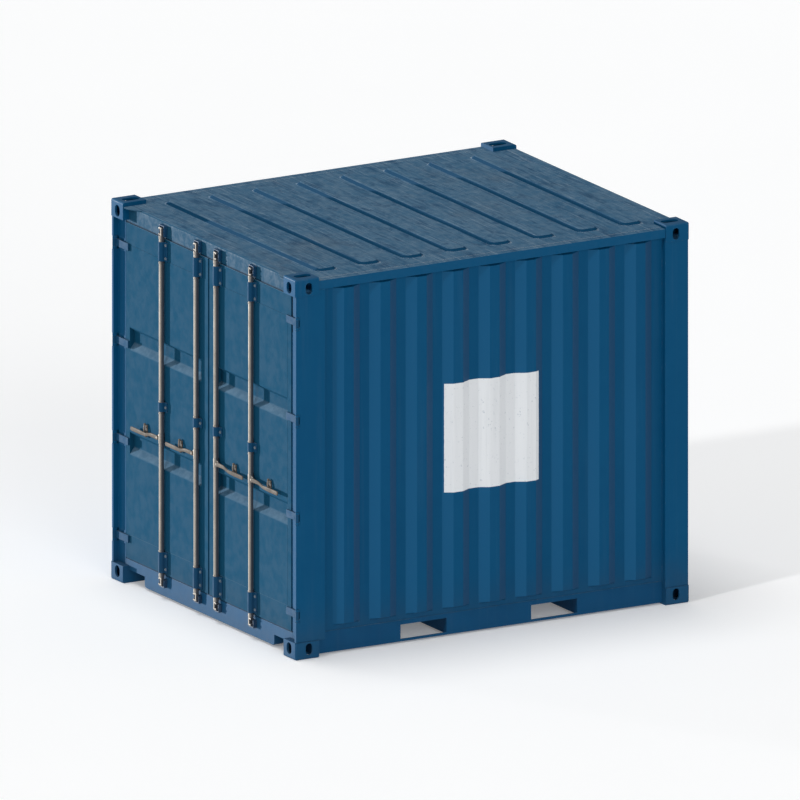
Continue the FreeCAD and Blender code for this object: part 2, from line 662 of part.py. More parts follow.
def rod_guide(which_side, rod_offset, span):
    """Bracket bent round a rod, with a foot on the door at each side."""
    inner = ROD_RADIUS + GUIDE_CLEARANCE
    outer = inner + GUIDE_STEEL
    height = span[1] - span[0]
    side = HALF_WIDTH - rod_offset
    centre = at(DOOR_END, ROD_END, which_side, side, span[0])
    pieces = [cylinder(outer, height, centre)]
    pieces.append(door_part(which_side, (ROD_END, DOOR_FACE), (side - outer, side + outer), span))
    pieces.append(door_part(which_side, (DOOR_FACE - GUIDE_FOOT_STEEL, DOOR_FACE),
                            (side - outer - GUIDE_FOOT, side + outer + GUIDE_FOOT), span))
    channel = door_part(which_side, (ROD_END, DOOR_FACE), (side - inner, side + inner), span)
    behind = door_part(which_side, (DOOR_FACE, DOOR_FACE + outer), (side - outer, side + outer), span)
    return joined(pieces).cut([cylinder(inner, height, centre), channel, behind])


def handle_catch(which_side, rod_offset):
    """Plate on the door with an ear above and one below the handle."""
    side = HALF_WIDTH - rod_offset - CATCH_DISTANCE
    sides = (side - CATCH_WIDTH / 2, side + CATCH_WIDTH / 2)
    front = HANDLE_FRONT + HANDLE_THICKNESS + CLEARANCE
    plate = door_part(which_side, (DOOR_FACE - CATCH_BASE_STEEL, DOOR_FACE), sides, (CATCH_BOTTOM, CATCH_TOP))
    lower = door_part(which_side, (front, DOOR_FACE), sides, (CATCH_BOTTOM, CATCH_BOTTOM + CATCH_EAR))
    upper = door_part(which_side, (front, DOOR_FACE), sides, (CATCH_TOP - 2 * CATCH_EAR, CATCH_TOP - CATCH_EAR))
    return joined([plate, lower, upper])


def make_doors():
    for name, side in (("right", NEAR), ("left", FAR)):
        save(name + "_door_frame", [door_frame(side)])
        save(name + "_door_sheet", [door_sheet(side)])
        save(name + "_door_gasket", [door_gasket(side)])
        save(name + "_hinge_blades", [hinge_blade(side, z) for z in HINGE_HEIGHTS])
        save(name + "_hinge_lugs", [hinge_lugs(side, z) for z in HINGE_HEIGHTS])
        guides = [rod_guide(side, offset, span) for offset in ROD_OFFSETS for span in GUIDE_SPANS]
        save(name + "_rod_guides", guides)
        save(name + "_handle_catches", [handle_catch(side, offset) for offset in ROD_OFFSETS])


# ---------------------------------------------------------------- lock rods
def rod_piece(which_side, rod_offset, ends, sideways, heights):
    """Box beside a rod's axis; `sideways` counts towards the container's side."""
    side = HALF_WIDTH - rod_offset
    return door_part(which_side, ends, (side - sideways[0], side - sideways[1]), heights)


def rod_cam(which_side, rod_offset, base):
    """Cam with an open mouth between two jaws."""
    ends = (ROD_END - CAM_THICKNESS / 2, ROD_END + CAM_THICKNESS / 2)
    plate = rod_piece(which_side, rod_offset, ends, (-CAM_REACH, CAM_BACK), (base, base + CAM_HEIGHT))
    mouth = rod_piece(which_side, rod_offset, (ends[0] - 1, ends[1] + 1), (-CAM_REACH - 1, -2),
                      (base + CAM_JAW, base + CAM_HEIGHT - CAM_JAW))
    return plate.cut(mouth)


def lock_rod(which_side, rod_offset):
    """Rod with a cam at each end, and a hub with the handle's pin."""
    side = HALF_WIDTH - rod_offset
    axis_foot = at(DOOR_END, ROD_END, which_side, side, ROD_BOTTOM)
    pieces = [cylinder(ROD_RADIUS, ROD_TOP - ROD_BOTTOM, axis_foot)]
    pieces.append(rod_cam(which_side, rod_offset, CAM_BOTTOM))
    pieces.append(rod_cam(which_side, rod_offset, CAM_TOP - CAM_HEIGHT))
    hub_base = at(DOOR_END, ROD_END, which_side, side, HANDLE_HEIGHT - HUB_HEIGHT / 2)
    pieces.append(cylinder(HUB_RADIUS, HUB_HEIGHT, hub_base))
    lug_front = HANDLE_FRONT + HANDLE_THICKNESS + HINGE_GAP
    pieces.append(rod_piece(which_side, rod_offset, (lug_front, lug_front + HUB_LUG_THICKNESS),
                            (0, HANDLE_PIVOT + HUB_LUG_DEPTH / 2),
                            (HANDLE_HEIGHT - HUB_LUG_DEPTH / 2, HANDLE_HEIGHT + HUB_LUG_DEPTH / 2)))
    pin = at(DOOR_END, HANDLE_FRONT, which_side, side - HANDLE_PIVOT, HANDLE_HEIGHT)
    pin_length = lug_front + HUB_LUG_THICKNESS - HANDLE_FRONT
    pieces.append(cylinder(HANDLE_PIN_RADIUS, pin_length, pin, FreeCAD.Vector(1, 0, 0)))
    return joined(pieces)


def handle(which_side, rod_offset):
    """Flat bar with a gentle double bend, from the pivot to a rounded tip."""
    half = HANDLE_DEPTH / 2
    pivot = HALF_WIDTH - rod_offset - HANDLE_PIVOT
    reach = HANDLE_LENGTH - HANDLE_PIVOT
    low = HANDLE_HEIGHT - HANDLE_CRANK
    x = HANDLE_FRONT

    def point(distance, z):
        return at(DOOR_END, x, which_side, pivot - distance, z)

    below = [reach * (bend - HANDLE_BEND_SHIFT) for bend in HANDLE_BENDS]
    above = [reach * (bend + HANDLE_BEND_SHIFT) for bend in HANDLE_BENDS]
    outline = [point(0, HANDLE_HEIGHT - half), point(below[0], HANDLE_HEIGHT - half),
               point(below[1], low - half), point(reach - half, low - half),
               point(reach - half, low + half), point(above[1], low + half),
               point(above[0], HANDLE_HEIGHT + half), point(0, HANDLE_HEIGHT + half)]
    inward = FreeCAD.Vector(1, 0, 0)
    bar = polygon_face(outline).extrude(inward * HANDLE_THICKNESS)
    heel = cylinder(half, HANDLE_THICKNESS, point(0, HANDLE_HEIGHT), inward)
    tip = cylinder(half, HANDLE_THICKNESS, point(reach - half, low), inward)
    bore = cylinder(HANDLE_PIN_RADIUS + PIN_CLEARANCE, HANDLE_THICKNESS, point(0, HANDLE_HEIGHT), inward)
    return joined([bar, heel, tip]).cut(bore)


def keeper(which_side, rod_offset, heights, plate_at_top):
    """Two cheeks either side of a cam, tied by a plate beyond the cam's end."""
    inner = math.hypot(CAM_REACH, CAM_THICKNESS / 2) + CLEARANCE
    outer = inner + KEEPER_CHEEK
    ends = (HEADER_FACE - KEEPER_REACH, HEADER_FACE)
    cheeks = ((inner, outer), (-outer, -inner))
    pieces = [rod_piece(which_side, rod_offset, ends, span, heights) for span in cheeks]
    plate_base = heights[1] - KEEPER_PLATE if plate_at_top else heights[0]
    plate_span = (plate_base, plate_base + KEEPER_PLATE)
    pieces.append(rod_piece(which_side, rod_offset, ends, (-outer, outer), plate_span))
    return joined(pieces)


def make_locks():
    number = 0
    for side in (FAR, NEAR):
        order = sorted(ROD_OFFSETS, reverse=(side == FAR))
        for offset in order:
            number += 1
            save("lock_rod_%d" % number, [lock_rod(side, offset)])
            save("handle_%d" % number, [handle(side, offset)])
    top_span = (CAM_TOP - CAM_HEIGHT + CAM_JAW, CAM_TOP + CLEARANCE + KEEPER_PLATE)
    low_span = (CAM_BOTTOM - CLEARANCE - KEEPER_PLATE, CAM_BOTTOM + CAM_HEIGHT / 2)
    pairs = [(side, offset) for side in (FAR, NEAR) for offset in ROD_OFFSETS]
    save("top_keepers", [keeper(side, offset, top_span, True) for side, offset in pairs])
    save("bottom_keepers", [keeper(side, offset, low_span, False) for side, offset in pairs])


def main():
    os.makedirs("parts", exist_ok=True)
    make_castings()
    make_posts()
    make_rails()
    make_sheets()
    make_underframe()
    make_doors()
    make_locks()


main()
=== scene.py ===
"""The looks of a ten-foot freight container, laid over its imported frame.

The frame gives the steelwork at its real size.  This file rounds the edges of
that steelwork, presses the walls, roof and door skins as smooth surfaces, adds
bolts, weld beads, rods and handles, and gives every surface its own finish.
All sizes are in metres, in the frame's own axes: doors at -X, Y across, Z up.
"""
import json
import logging
import math
from dataclasses import dataclass, field
from enum import Enum
from typing import Callable, Optional, Sequence

import bmesh
import bpy
import numpy as np
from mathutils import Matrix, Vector


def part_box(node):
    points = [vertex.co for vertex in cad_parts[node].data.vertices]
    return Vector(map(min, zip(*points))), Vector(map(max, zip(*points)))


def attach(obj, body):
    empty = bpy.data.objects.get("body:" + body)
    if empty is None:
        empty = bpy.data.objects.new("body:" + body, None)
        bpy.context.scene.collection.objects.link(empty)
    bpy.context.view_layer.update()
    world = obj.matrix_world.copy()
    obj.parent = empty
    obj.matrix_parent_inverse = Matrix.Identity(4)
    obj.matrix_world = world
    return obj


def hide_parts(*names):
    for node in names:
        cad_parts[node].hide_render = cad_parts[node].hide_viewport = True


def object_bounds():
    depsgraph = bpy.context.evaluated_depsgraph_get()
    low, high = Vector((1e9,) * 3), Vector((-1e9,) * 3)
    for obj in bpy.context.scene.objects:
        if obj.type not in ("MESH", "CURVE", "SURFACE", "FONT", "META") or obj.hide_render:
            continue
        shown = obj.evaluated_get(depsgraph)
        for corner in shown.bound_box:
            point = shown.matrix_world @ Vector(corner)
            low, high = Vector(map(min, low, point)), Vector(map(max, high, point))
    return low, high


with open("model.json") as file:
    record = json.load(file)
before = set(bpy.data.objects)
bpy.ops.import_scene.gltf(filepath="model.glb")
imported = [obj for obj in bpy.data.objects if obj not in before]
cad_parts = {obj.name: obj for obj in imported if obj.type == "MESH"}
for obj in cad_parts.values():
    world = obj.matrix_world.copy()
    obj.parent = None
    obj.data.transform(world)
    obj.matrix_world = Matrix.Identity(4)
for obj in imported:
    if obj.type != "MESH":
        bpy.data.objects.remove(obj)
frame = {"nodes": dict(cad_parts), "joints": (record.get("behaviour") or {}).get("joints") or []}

LOG = logging.getLogger("container")
CAD_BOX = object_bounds()
Colour = tuple[float, float, float, float]
Socket = bpy.types.NodeSocket
Material = bpy.types.Material
Surface = tuple[np.ndarray, np.ndarray]


def joint_place(name: str) -> Sequence[float]:
    """Where a packed joint's axis stands."""
    return next(joint["pos_m"] for joint in frame["joints"] if joint["name"] == name)


# --------------------------------------------------------------- mesh tools
@dataclass
class Skin:
    """Points and faces of one piece, gathered from several surfaces.

    Args:
        name: The piece's name.
        points: The surfaces' points, filled by `add`.
        quads: Their faces, filled by `add`.
        count: Number of points so far.
    """
    name: str
    points: list[np.ndarray] = field(default_factory=list)
    quads: list[np.ndarray] = field(default_factory=list)
    count: int = 0

    def add(self, points: np.ndarray, quads: np.ndarray) -> None:
        """Take in one more surface.

        Args:
            points: Array of n points, n by 3.
            quads: Array of faces, m by 4, counting within these points.
        """
        self.points.append(points.reshape(-1, 3))
        self.quads.append(quads + self.count)
        self.count += self.points[-1].shape[0]

    def build(self, body: str, slot: "Slot", finish: Material,
              smooth: float = 40.0) -> bpy.types.Object:
        """Make the Blender piece, closed and facing outwards.

        Args:
            body: The moving body that the piece rides on.
            slot: Its material slot, not used.
            finish: The piece's material.
            smooth: Edges sharper than this many degrees stay crisp.

        Returns:
            The finished object, at the origin.
        """
        points = np.concatenate(self.points)
        quads = np.concatenate(self.quads)
        mesh = bpy.data.meshes.new(self.name)
        mesh.vertices.add(len(points))
        mesh.vertices.foreach_set("co", points.astype(np.float32).ravel())
        mesh.loops.add(quads.size)
        mesh.loops.foreach_set("vertex_index", quads.astype(np.int32).ravel())
        mesh.polygons.add(len(quads))
        mesh.polygons.foreach_set("loop_start", np.arange(0, quads.size, 4, dtype=np.int32))
        mesh.update(calc_edges=True)
        tidy_mesh(mesh)
        return dress(self.name, mesh, body, finish, smooth)


def tidy_mesh(mesh: bpy.types.Mesh, merge: float = 1e-6) -> None:
    """Merge doubled points, drop empty faces and turn all faces outwards.

    Args:
        mesh: The mesh to tidy.
        merge: Points nearer than this become one.
    """
    shape = bmesh.new()
    shape.from_mesh(mesh)
    bmesh.ops.remove_doubles(shape, verts=shape.verts, dist=merge)
    bmesh.ops.dissolve_degenerate(shape, edges=shape.edges, dist=merge)
    bmesh.ops.recalc_face_normals(shape, faces=shape.faces)
    shape.to_mesh(mesh)
    shape.free()


def dress(name: str, mesh: bpy.types.Mesh, body: str, finish: Material,
          smooth: float) -> bpy.types.Object:
    """Turn a mesh into a piece that rides on a body.

    Args:
        name: The piece's name.
        mesh: Its mesh, already in place.
        body: The body that it rides on.
        finish: Its material.
        smooth: Edges sharper than this many degrees stay crisp.

    Returns:
        The new object.
    """
    mesh.shade_smooth()
    mesh.set_sharp_from_angle(angle=math.radians(smooth))
    piece = bpy.data.objects.new(name, mesh)
    bpy.context.scene.collection.objects.link(piece)
    mesh.materials.append(finish)
    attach(piece, body)
    LOG.info("%s: %d faces on %s", name, len(mesh.polygons), body)
    return piece


def grid_quads(rows: int, columns: int, wrap: bool = False) -> np.ndarray:
    """Faces of a grid of points stored row by row.

    Args:
        rows: Number of rows.
        columns: Points in a row.
        wrap: Whether each row closes on itself.

    Returns:
        Array of faces, m by 4.
    """
    row = np.arange(rows - 1)[:, None] * columns
    column = np.arange(columns if wrap else columns - 1)[None, :]
    after = (column + 1) % columns
    corners = [row + column, row + after, row + columns + after, row + columns + column]
    return np.stack([corner.ravel() for corner in corners], axis=1)


def soft_min(a: np.ndarray, b: np.ndarray, blend: float) -> np.ndarray:
    """Smaller of two arrays, with a parabola of width `blend` where they cross."""
    near = np.clip(blend - np.abs(a - b), 0.0, None) / blend
    return np.minimum(a, b) - near * near * blend / 4


def soft_ramp(value: np.ndarray, blend: float) -> np.ndarray:
    """Value held between 0 and 1, with both corners rounded by a parabola."""
    upper = soft_min(value, np.ones_like(value), blend)
    return -soft_min(-upper, np.zeros_like(value), blend)


def unit(vector: Sequence[float]) -> np.ndarray:
    """Vector of length one along the given direction."""
    array = np.asarray(vector, dtype=float)
    return array / np.linalg.norm(array)


def across(direction: np.ndarray) -> Surface:
    """Two unit vectors square to a direction and to each other.

    Args:
        direction: The direction, of length one.

    Returns:
        The two vectors.
    """
    helper = np.array([0.0, 0.0, 1.0]) if abs(direction[2]) < 0.9 else np.array([1.0, 0.0, 0.0])
    first = unit(np.cross(direction, helper))
    return first, np.cross(direction, first)


def turned(profile: np.ndarray, base: Sequence[float], axis: Sequence[float], sides: int,
           phase: float = 0.0) -> Surface:
    """Surface of revolution: each profile point (radius, height) becomes a ring.

    A point is base + axis * height + radius * (cos a, sin a) across the axis,
    with a from 0 to a full turn.  Radius 0 at both ends closes the shape.

    Args:
        profile: Array of (radius, height) pairs.
        base: Where height is 0.
        axis: Direction of height.
        sides: Number of points in a ring.
        phase: Angle of the first point.

    Returns:
        Points and faces.
    """
    along = unit(axis)
    first, second = across(along)
    angle = phase + np.linspace(0.0, 2 * math.pi, sides, endpoint=False)
    ring = np.cos(angle)[:, None] * first + np.sin(angle)[:, None] * second
    radius, height = profile[:, 0], profile[:, 1]
    points = np.asarray(base) + height[:, None, None] * along + radius[:, None, None] * ring[None, :, :]
    return points, grid_quads(len(profile), sides, wrap=True)


def swept(path: np.ndarray, section: np.ndarray, side: Sequence[float],
          scale: Optional[np.ndarray] = None) -> Surface:
    """Closed section carried along a path, with both ends drawn to a point.

    At each path point the section's first number goes along `side` and its
    second along side x tangent, both times that point's scale.

    Args:
        path: Array of points along the path.
        section: Array of section points, going once round.
        side: Direction that stays square to the path's plane.
        scale: One factor for each path point, or a pair of them, for the section's
            two numbers.

    Returns:
        Points and faces.
    """
    tangent = np.gradient(path, axis=0)
    tangent /= np.linalg.norm(tangent, axis=1)[:, None]
    fixed = unit(side)
    other = np.cross(fixed[None, :], tangent)
    factor = np.ones((len(path), 2)) if scale is None else np.broadcast_to(scale.T, (2, len(path))).T
    rings = (path[:, None, :] + factor[:, 0, None, None] * section[None, :, 0, None] * fixed
             + factor[:, 1, None, None] * section[None, :, 1, None] * other[:, None, :])
    closed = np.concatenate([np.repeat(path[:1, None, :], len(section), axis=1), rings,
                             np.repeat(path[-1:, None, :], len(section), axis=1)])
    return closed, grid_quads(len(closed), len(section), wrap=True)


def rounded_bar(width: float, depth: float, power: float = 4.0, sides: int = 16) -> np.ndarray:
    """Section like a bar with round edges: |x/w|^p + |y/d|^p = 1, a superellipse.

    Args:
        width: Twice w.
        depth: Twice d.
        power: The exponent p: 2 for an ellipse, more for squarer corners.
        sides: Number of points.

    Returns:
        The points, going once round.
    """
    angle = np.linspace(0.0, 2 * math.pi, sides, endpoint=False)
    x = np.sign(np.cos(angle)) * np.abs(np.cos(angle)) ** (2 / power) * width / 2
    y = np.sign(np.sin(angle)) * np.abs(np.sin(angle)) ** (2 / power) * depth / 2
    return np.stack([x, y], axis=1)


def domed(radius: float, height: float, steps: int = 5) -> np.ndarray:
    """Profile of a low dome: the radius falls as a cosine while the height rises as a sine."""
    angle = np.linspace(0.0, math.pi / 2, steps)
    return np.stack([radius * np.cos(angle), height * np.sin(angle)], axis=1)


# --------------------------------------------------------------- node tools
class Nodes:
    """A material's node tree, with short calls for the nodes used here."""

    def __init__(self, name: str) -> None:
        """Start a material that holds only a Principled shader and its output.

        Args:
            name: The material's name.
        """
        self.material = bpy.data.materials.new(name)
        self.material.use_nodes = True
        self.tree = self.material.node_tree
        self.tree.nodes.clear()
        self.output = self.tree.nodes.new("ShaderNodeOutputMaterial")
        self.shader = self.tree.nodes.new("ShaderNodeBsdfPrincipled")
        self.tree.links.new(self.shader.outputs[0], self.output.inputs[0])
        self.place = self.tree.nodes.new("ShaderNodeTexCoord").outputs["Object"]

    def link(self, source: Socket, target: Socket) -> None:
        """Join two sockets."""
        self.tree.links.new(source, target)

    def feed(self, socket: Socket, value: object) -> None:
        """Give a socket its value.

        Args:
            socket: The socket to fill.
            value: Another socket to link, or a number or a colour.
        """
        if isinstance(value, Socket):
            self.link(value, socket)
        else:
            socket.default_value = value

    def stretched(self, scale: tuple[float, float, float]) -> Socket:
        """Object coordinates times a scale along each axis.

        Args:
            scale: The three factors.

        Returns:
            The scaled coordinates.
        """
        node = self.tree.nodes.new("ShaderNodeMapping")
        node.inputs["Scale"].default_value = scale
        self.link(self.place, node.inputs["Vector"])
        return node.outputs[0]

    def noise(self, scale: float, detail: float = 4.0, rough: float = 0.55,
              place: Optional[Socket] = None, warp: float = 0.0) -> Socket:
        """Cloudy noise from 0 to 1.

        Args:
            scale: Blobs in a metre, roughly.
            detail: Number of finer layers.
            rough: Strength of the finer layers.
            place: Coordinates, object coordinates unless given.
            warp: Distortion.

        Returns:
            The noise value.
        """
        node = self.tree.nodes.new("ShaderNodeTexNoise")
        node.inputs["Scale"].default_value = scale
        node.inputs["Detail"].default_value = detail
        node.inputs["Roughness"].default_value = rough
        node.inputs["Distortion"].default_value = warp
        self.link(place or self.place, node.inputs["Vector"])
        return node.outputs[0]

    def cells(self, scale: float) -> Socket:
        """Distance to the nearest of many scattered points.

        Args:
            scale: Points in a metre, roughly.

        Returns:
            The distance, in cells.
        """
        node = self.tree.nodes.new("ShaderNodeTexVoronoi")
        node.inputs["Scale"].default_value = scale
        self.link(self.place, node.inputs["Vector"])
        return node.outputs["Distance"]

    def math(self, kind: str, a: object, b: object = 0.0, clamp: bool = False) -> Socket:
        """One arithmetic step.

        Args:
            kind: What it does, such as MULTIPLY or GREATER_THAN.
            a: First number or socket.
            b: Second number or socket.
            clamp: Whether the result is held between 0 and 1.

        Returns:
            The result.
        """
        node = self.tree.nodes.new("ShaderNodeMath")
        node.operation = kind
        node.use_clamp = clamp
        self.feed(node.inputs[0], a)
        self.feed(node.inputs[1], b)
        return node.outputs[0]

    def ramp(self, value: Socket, low: float, high: float) -> Socket:
        """Smooth step of a value.

        Args:
            value: The value.
            low: It gives 0 below this.
            high: It gives 1 above this.

        Returns:
            The step, from 0 to 1.
        """
        node = self.tree.nodes.new("ShaderNodeMapRange")
        node.interpolation_type = "SMOOTHSTEP"
        node.inputs["From Min"].default_value = low
        node.inputs["From Max"].default_value = high
        self.link(value, node.inputs["Value"])
        return node.outputs[0]

    def mix(self, factor: object, a: object, b: object) -> Socket:
        """Blend of two colours.

        Args:
            factor: Share of the second colour, from 0 to 1.
            a: First colour.
            b: Second colour.

        Returns:
            The blended colour.
        """
        node = self.tree.nodes.new("ShaderNodeMix")
        node.data_type = "RGBA"
        self.feed(node.inputs[0], factor)
        self.feed(node.inputs[6], a)
        self.feed(node.inputs[7], b)
        return node.outputs[2]

    def times(self, a: object, b: object) -> Socket:
        """Product of two numbers or sockets."""
        return self.math("MULTIPLY", a, b)

    def without(self, value: Socket) -> Socket:
        """One less a value."""
        return self.math("SUBTRACT", 1.0, value)

    def layer(self, under: object, over: object, cover: object, strength: float) -> Socket:
        """Lay one colour over another.

        Args:
            under: The colour below.
            over: The colour on top.
            cover: Where it lies, from 0 to 1.
            strength: How much of it shows where it lies.

        Returns:
            The blended colour.
        """
        return self.mix(self.times(cover, strength), under, over)

    def edge_wear(self, radius: float) -> Socket:
        """How far a rounded normal leans from the true one.

        Args:
            radius: Reach of the rounding.

        Returns:
            0 on flats, rising at edges.
        """
        soft = self.tree.nodes.new("ShaderNodeBevel")
        soft.samples = 4
        soft.inputs["Radius"].default_value = radius
        true = self.tree.nodes.new("ShaderNodeNewGeometry")
        dot = self.tree.nodes.new("ShaderNodeVectorMath")
        dot.operation = "DOT_PRODUCT"
        self.link(soft.outputs[0], dot.inputs[0])
        self.link(true.outputs["Normal"], dot.inputs[1])
        return self.math("SUBTRACT", 1.0, dot.outputs["Value"], clamp=True)

    def axes(self) -> tuple[Socket, Socket, Socket]:
        """The three object coordinates, one by one.

        Returns:
            The X, Y and Z sockets.
        """
        node = self.tree.nodes.new("ShaderNodeSeparateXYZ")
        self.link(self.place, node.inputs[0])
        return node.outputs[0], node.outputs[1], node.outputs[2]

    def facing(self, axis: int, sign: float = 1.0) -> Socket:
        """How far a surface faces one way in its piece's own axes.

        Args:
            axis: 0 for X, 1 for Y, 2 for Z.
            sign: 1 for the axis's own way, -1 for the other.

        Returns:
            1 facing fully that way, 0 square to it or away.
        """
        source = self.tree.nodes.new("ShaderNodeTexCoord")
        node = self.tree.nodes.new("ShaderNodeSeparateXYZ")
        self.link(source.outputs["Normal"], node.inputs[0])
        return self.math("MAXIMUM", self.times(node.outputs[axis], sign), 0.0)

    def bump(self, height: Socket, depth: float, strength: float = 1.0,
             below: Optional[Socket] = None) -> Socket:
        """Bump from a height.

        Args:
            height: The height, from 0 to 1.
            depth: What a height of 1 stands for.
            strength: How much of it shows.
            below: A bump that this one lies over, if any.

        Returns:
            The bumped normal.
        """
        node = self.tree.nodes.new("ShaderNodeBump")
        node.inputs["Strength"].default_value = strength
        node.inputs["Distance"].default_value = depth
        self.link(height, node.inputs["Height"])
        if below is not None:
            self.link(below, node.inputs["Normal"])
        return node.outputs[0]

    def finish(self, colour: object, rough: object, normal: Optional[Socket] = None,
               **constants: float) -> Material:
        """Fill the shader's sockets.

        Args:
            colour: The base colour.
            rough: The roughness.
            normal: The normal, if it is bumped.
            constants: Other sockets by name, with _ for a space.

        Returns:
            The finished material.
        """
        self.feed(self.shader.inputs["Base Color"], colour)
        self.feed(self.shader.inputs["Roughness"], rough)
        for name, value in constants.items():
            self.shader.inputs[name.replace("_", " ")].default_value = value
        if normal is not None:
            self.link(normal, self.shader.inputs["Normal"])
        return self.material


# --------------------------------------------------------------- finishes
@dataclass(frozen=True)
class Marking:
    """A blank painted rectangle on a wall.

    Args:
        left: Its least X.
        right: Its greatest X.
        low: Its least Z.
        high: Its greatest Z.
        colour: Its colour.
        second_tint: Its colour under run streaks.
    """
    left: float
    right: float
    low: float
    high: float
    colour: Colour = (0.68, 0.7, 0.72, 1.0)
    second_tint: Colour = (0.42, 0.45, 0.47, 1.0)

    def mask(self, nodes: Nodes) -> Socket:
        """Where the rectangle lies, with a slightly uneven sprayed edge.

        Args:
            nodes: The paint's nodes.

        Returns:
            1 inside, 0 outside.
        """
        x, _, z = nodes.axes()
        waver = nodes.times(nodes.math("SUBTRACT", nodes.noise(30.0, 2.0), 0.5), 0.003)
        x = nodes.math("ADD", x, waver)
        z = nodes.math("ADD", z, waver)
        sides = [nodes.math("GREATER_THAN", x, self.left), nodes.math("LESS_THAN", x, self.right),
                 nodes.math("GREATER_THAN", z, self.low), nodes.math("LESS_THAN", z, self.high)]
        mask = sides[0]
        for side in sides[1:]:
            mask = nodes.times(mask, side)
        return mask

    def spray(self, nodes: Nodes, colour: Socket, runs: Socket) -> Socket:
        """Paint the rectangle over a colour, chipped in small flakes.

        Args:
            nodes: The paint's nodes.
            colour: The colour below.
            runs: Run streaks, from 0 to 1.

        Returns:
            The painted colour.
        """
        inside = self.mask(nodes)
        flakes = nodes.ramp(nodes.noise(46.0, 6.0, 0.7), 0.6, 0.72)
        left_over = nodes.math("SUBTRACT", inside, nodes.times(flakes, 0.5), clamp=True)
        white = nodes.layer(self.colour, self.second_tint, runs, 0.25)
        return nodes.mix(left_over, colour, white)


@dataclass(frozen=True)
class Paint:
    """Sprayed marine paint on steel, weathered.

    Large clouds shift the colour between `deep` and `pale`, run streaks follow
    the fall of rain, chalk gathers on what faces up, dirt near the ground, and
    worn edges show primer and a little rust.  Where set, slopes along X take two
    tints: painted light on those that face the doors, and on those that face the
    rear end dust with a painted warm reflection.

    Args:
        name: The material's name.
        base: Its ordinary colour.
        deep: Colour of the darker clouds.
        pale: Colour of the lighter mottling.
        chalk: Colour of chalked paint and of run streaks.
        primer: Colour bared at worn edges.
        rust: Colour of the rust spots.
        mud: Colour of the dirt near the ground.
        rough: Middle roughness.
        cloud: Strength of the clouds.
        streaks: Strength of the run streaks.
        chalking: Strength of the chalk on what faces up.
        chips: Strength of the worn edges and the rust.
        darkening: Strength of the dirt.
        gloss: Strength of the shine.
        facing_shading: Strength of the two slope tints below: painted light, and dust with a painted
            reflection.
        dust: Tint of slopes that face the rear end: dust, with a painted warm reflection seen at a
            grazing angle.
        second_tint: Painted light: a lighter tint on slopes that face the doors.
        marking: A rectangle painted over it, if any.
    """
    name: str
    base: Colour
    deep: Colour
    pale: Colour
    chalk: Colour = (0.2, 0.26, 0.32, 1.0)
    primer: Colour = (0.16, 0.21, 0.26, 1.0)
    rust: Colour = (0.09, 0.035, 0.015, 1.0)
    mud: Colour = (0.05, 0.045, 0.04, 1.0)
    rough: float = 0.5
    cloud: float = 0.6
    streaks: float = 0.35
    chalking: float = 0.3
    chips: float = 0.5
    darkening: float = 0.35
    gloss: float = 0.4
    facing_shading: float = 0.0
    # Slope tints: dust with a painted warm reflection towards the rear, painted light towards the doors.
    dust: Colour = (0.017, 0.062, 0.138, 1.0)
    second_tint: Colour = (0.01, 0.086, 0.19, 1.0)
    marking: Optional[Marking] = None

    def material(self) -> Material:
        """Build the node material.

        Returns:
            The finished material.
        """
        nodes = Nodes(self.name)
        clouds = nodes.ramp(nodes.noise(1.3, 5.0, 0.6), 0.3, 0.7)
        mottle = nodes.ramp(nodes.noise(14.0, 5.0, 0.65), 0.35, 0.7)
        runs = nodes.ramp(nodes.noise(1.0, 4.0, 0.7, nodes.stretched((17.0, 17.0, 0.55))), 0.5, 0.78)
        colour = nodes.layer(self.base, self.deep, clouds, self.cloud)
        colour = nodes.layer(colour, self.pale, mottle, self.cloud * 0.3)
        colour = nodes.layer(colour, self.chalk, runs, self.streaks)
        up = nodes.times(nodes.facing(2), self.chalking)
        lying = nodes.math("ADD", 0.5, nodes.times(mottle, 0.5))
        colour = nodes.mix(nodes.math("MULTIPLY", up, lying, clamp=True), colour, self.chalk)
        _, _, height = nodes.axes()
        low = nodes.without(nodes.ramp(height, 0.0, 0.45))
        dirt = nodes.times(nodes.times(low, self.darkening), nodes.noise(9.0, 5.0))
        colour = nodes.mix(dirt, colour, self.mud)
        # Painted light on slopes along X: lighter where they face the doors; where they face the rear
        # end, dust with a painted warm reflection.
        if self.facing_shading:
            for sign, tint in ((1.0, self.dust), (-1.0, self.second_tint)):
                slopes = nodes.ramp(nodes.facing(0, sign), 0.25, 0.42)
                colour = nodes.layer(colour, tint, slopes, self.facing_shading)
        if self.marking is not None:
            colour = self.marking.spray(nodes, colour, runs)
        worn = nodes.ramp(nodes.edge_wear(0.006), 0.03, 0.16)
        patchy = nodes.ramp(nodes.noise(38.0, 6.0, 0.7), 0.52, 0.64)
        colour = nodes.layer(colour, self.primer, nodes.times(worn, patchy), self.chips)
        spots = nodes.ramp(nodes.noise(55.0, 5.0, 0.72), 0.7, 0.745)
        scarce = nodes.ramp(nodes.noise(2.3, 3.0), 0.55, 0.68)
        rusty = nodes.times(nodes.times(spots, scarce), self.chips)
        colour = nodes.mix(rusty, colour, self.rust)
        rough = nodes.math("ADD", self.rough - 0.08, nodes.times(mottle, 0.2))
        rough = nodes.math("ADD", rough, nodes.times(rusty, 0.3), clamp=True)
        normal = nodes.bump(nodes.noise(240.0, 2.0, 0.5), 0.0004, 0.35)
        normal = nodes.bump(nodes.noise(30.0, 3.0), 0.0012, 0.1, normal)
        return nodes.finish(colour, rough, normal, Specular_IOR_Level=self.gloss)


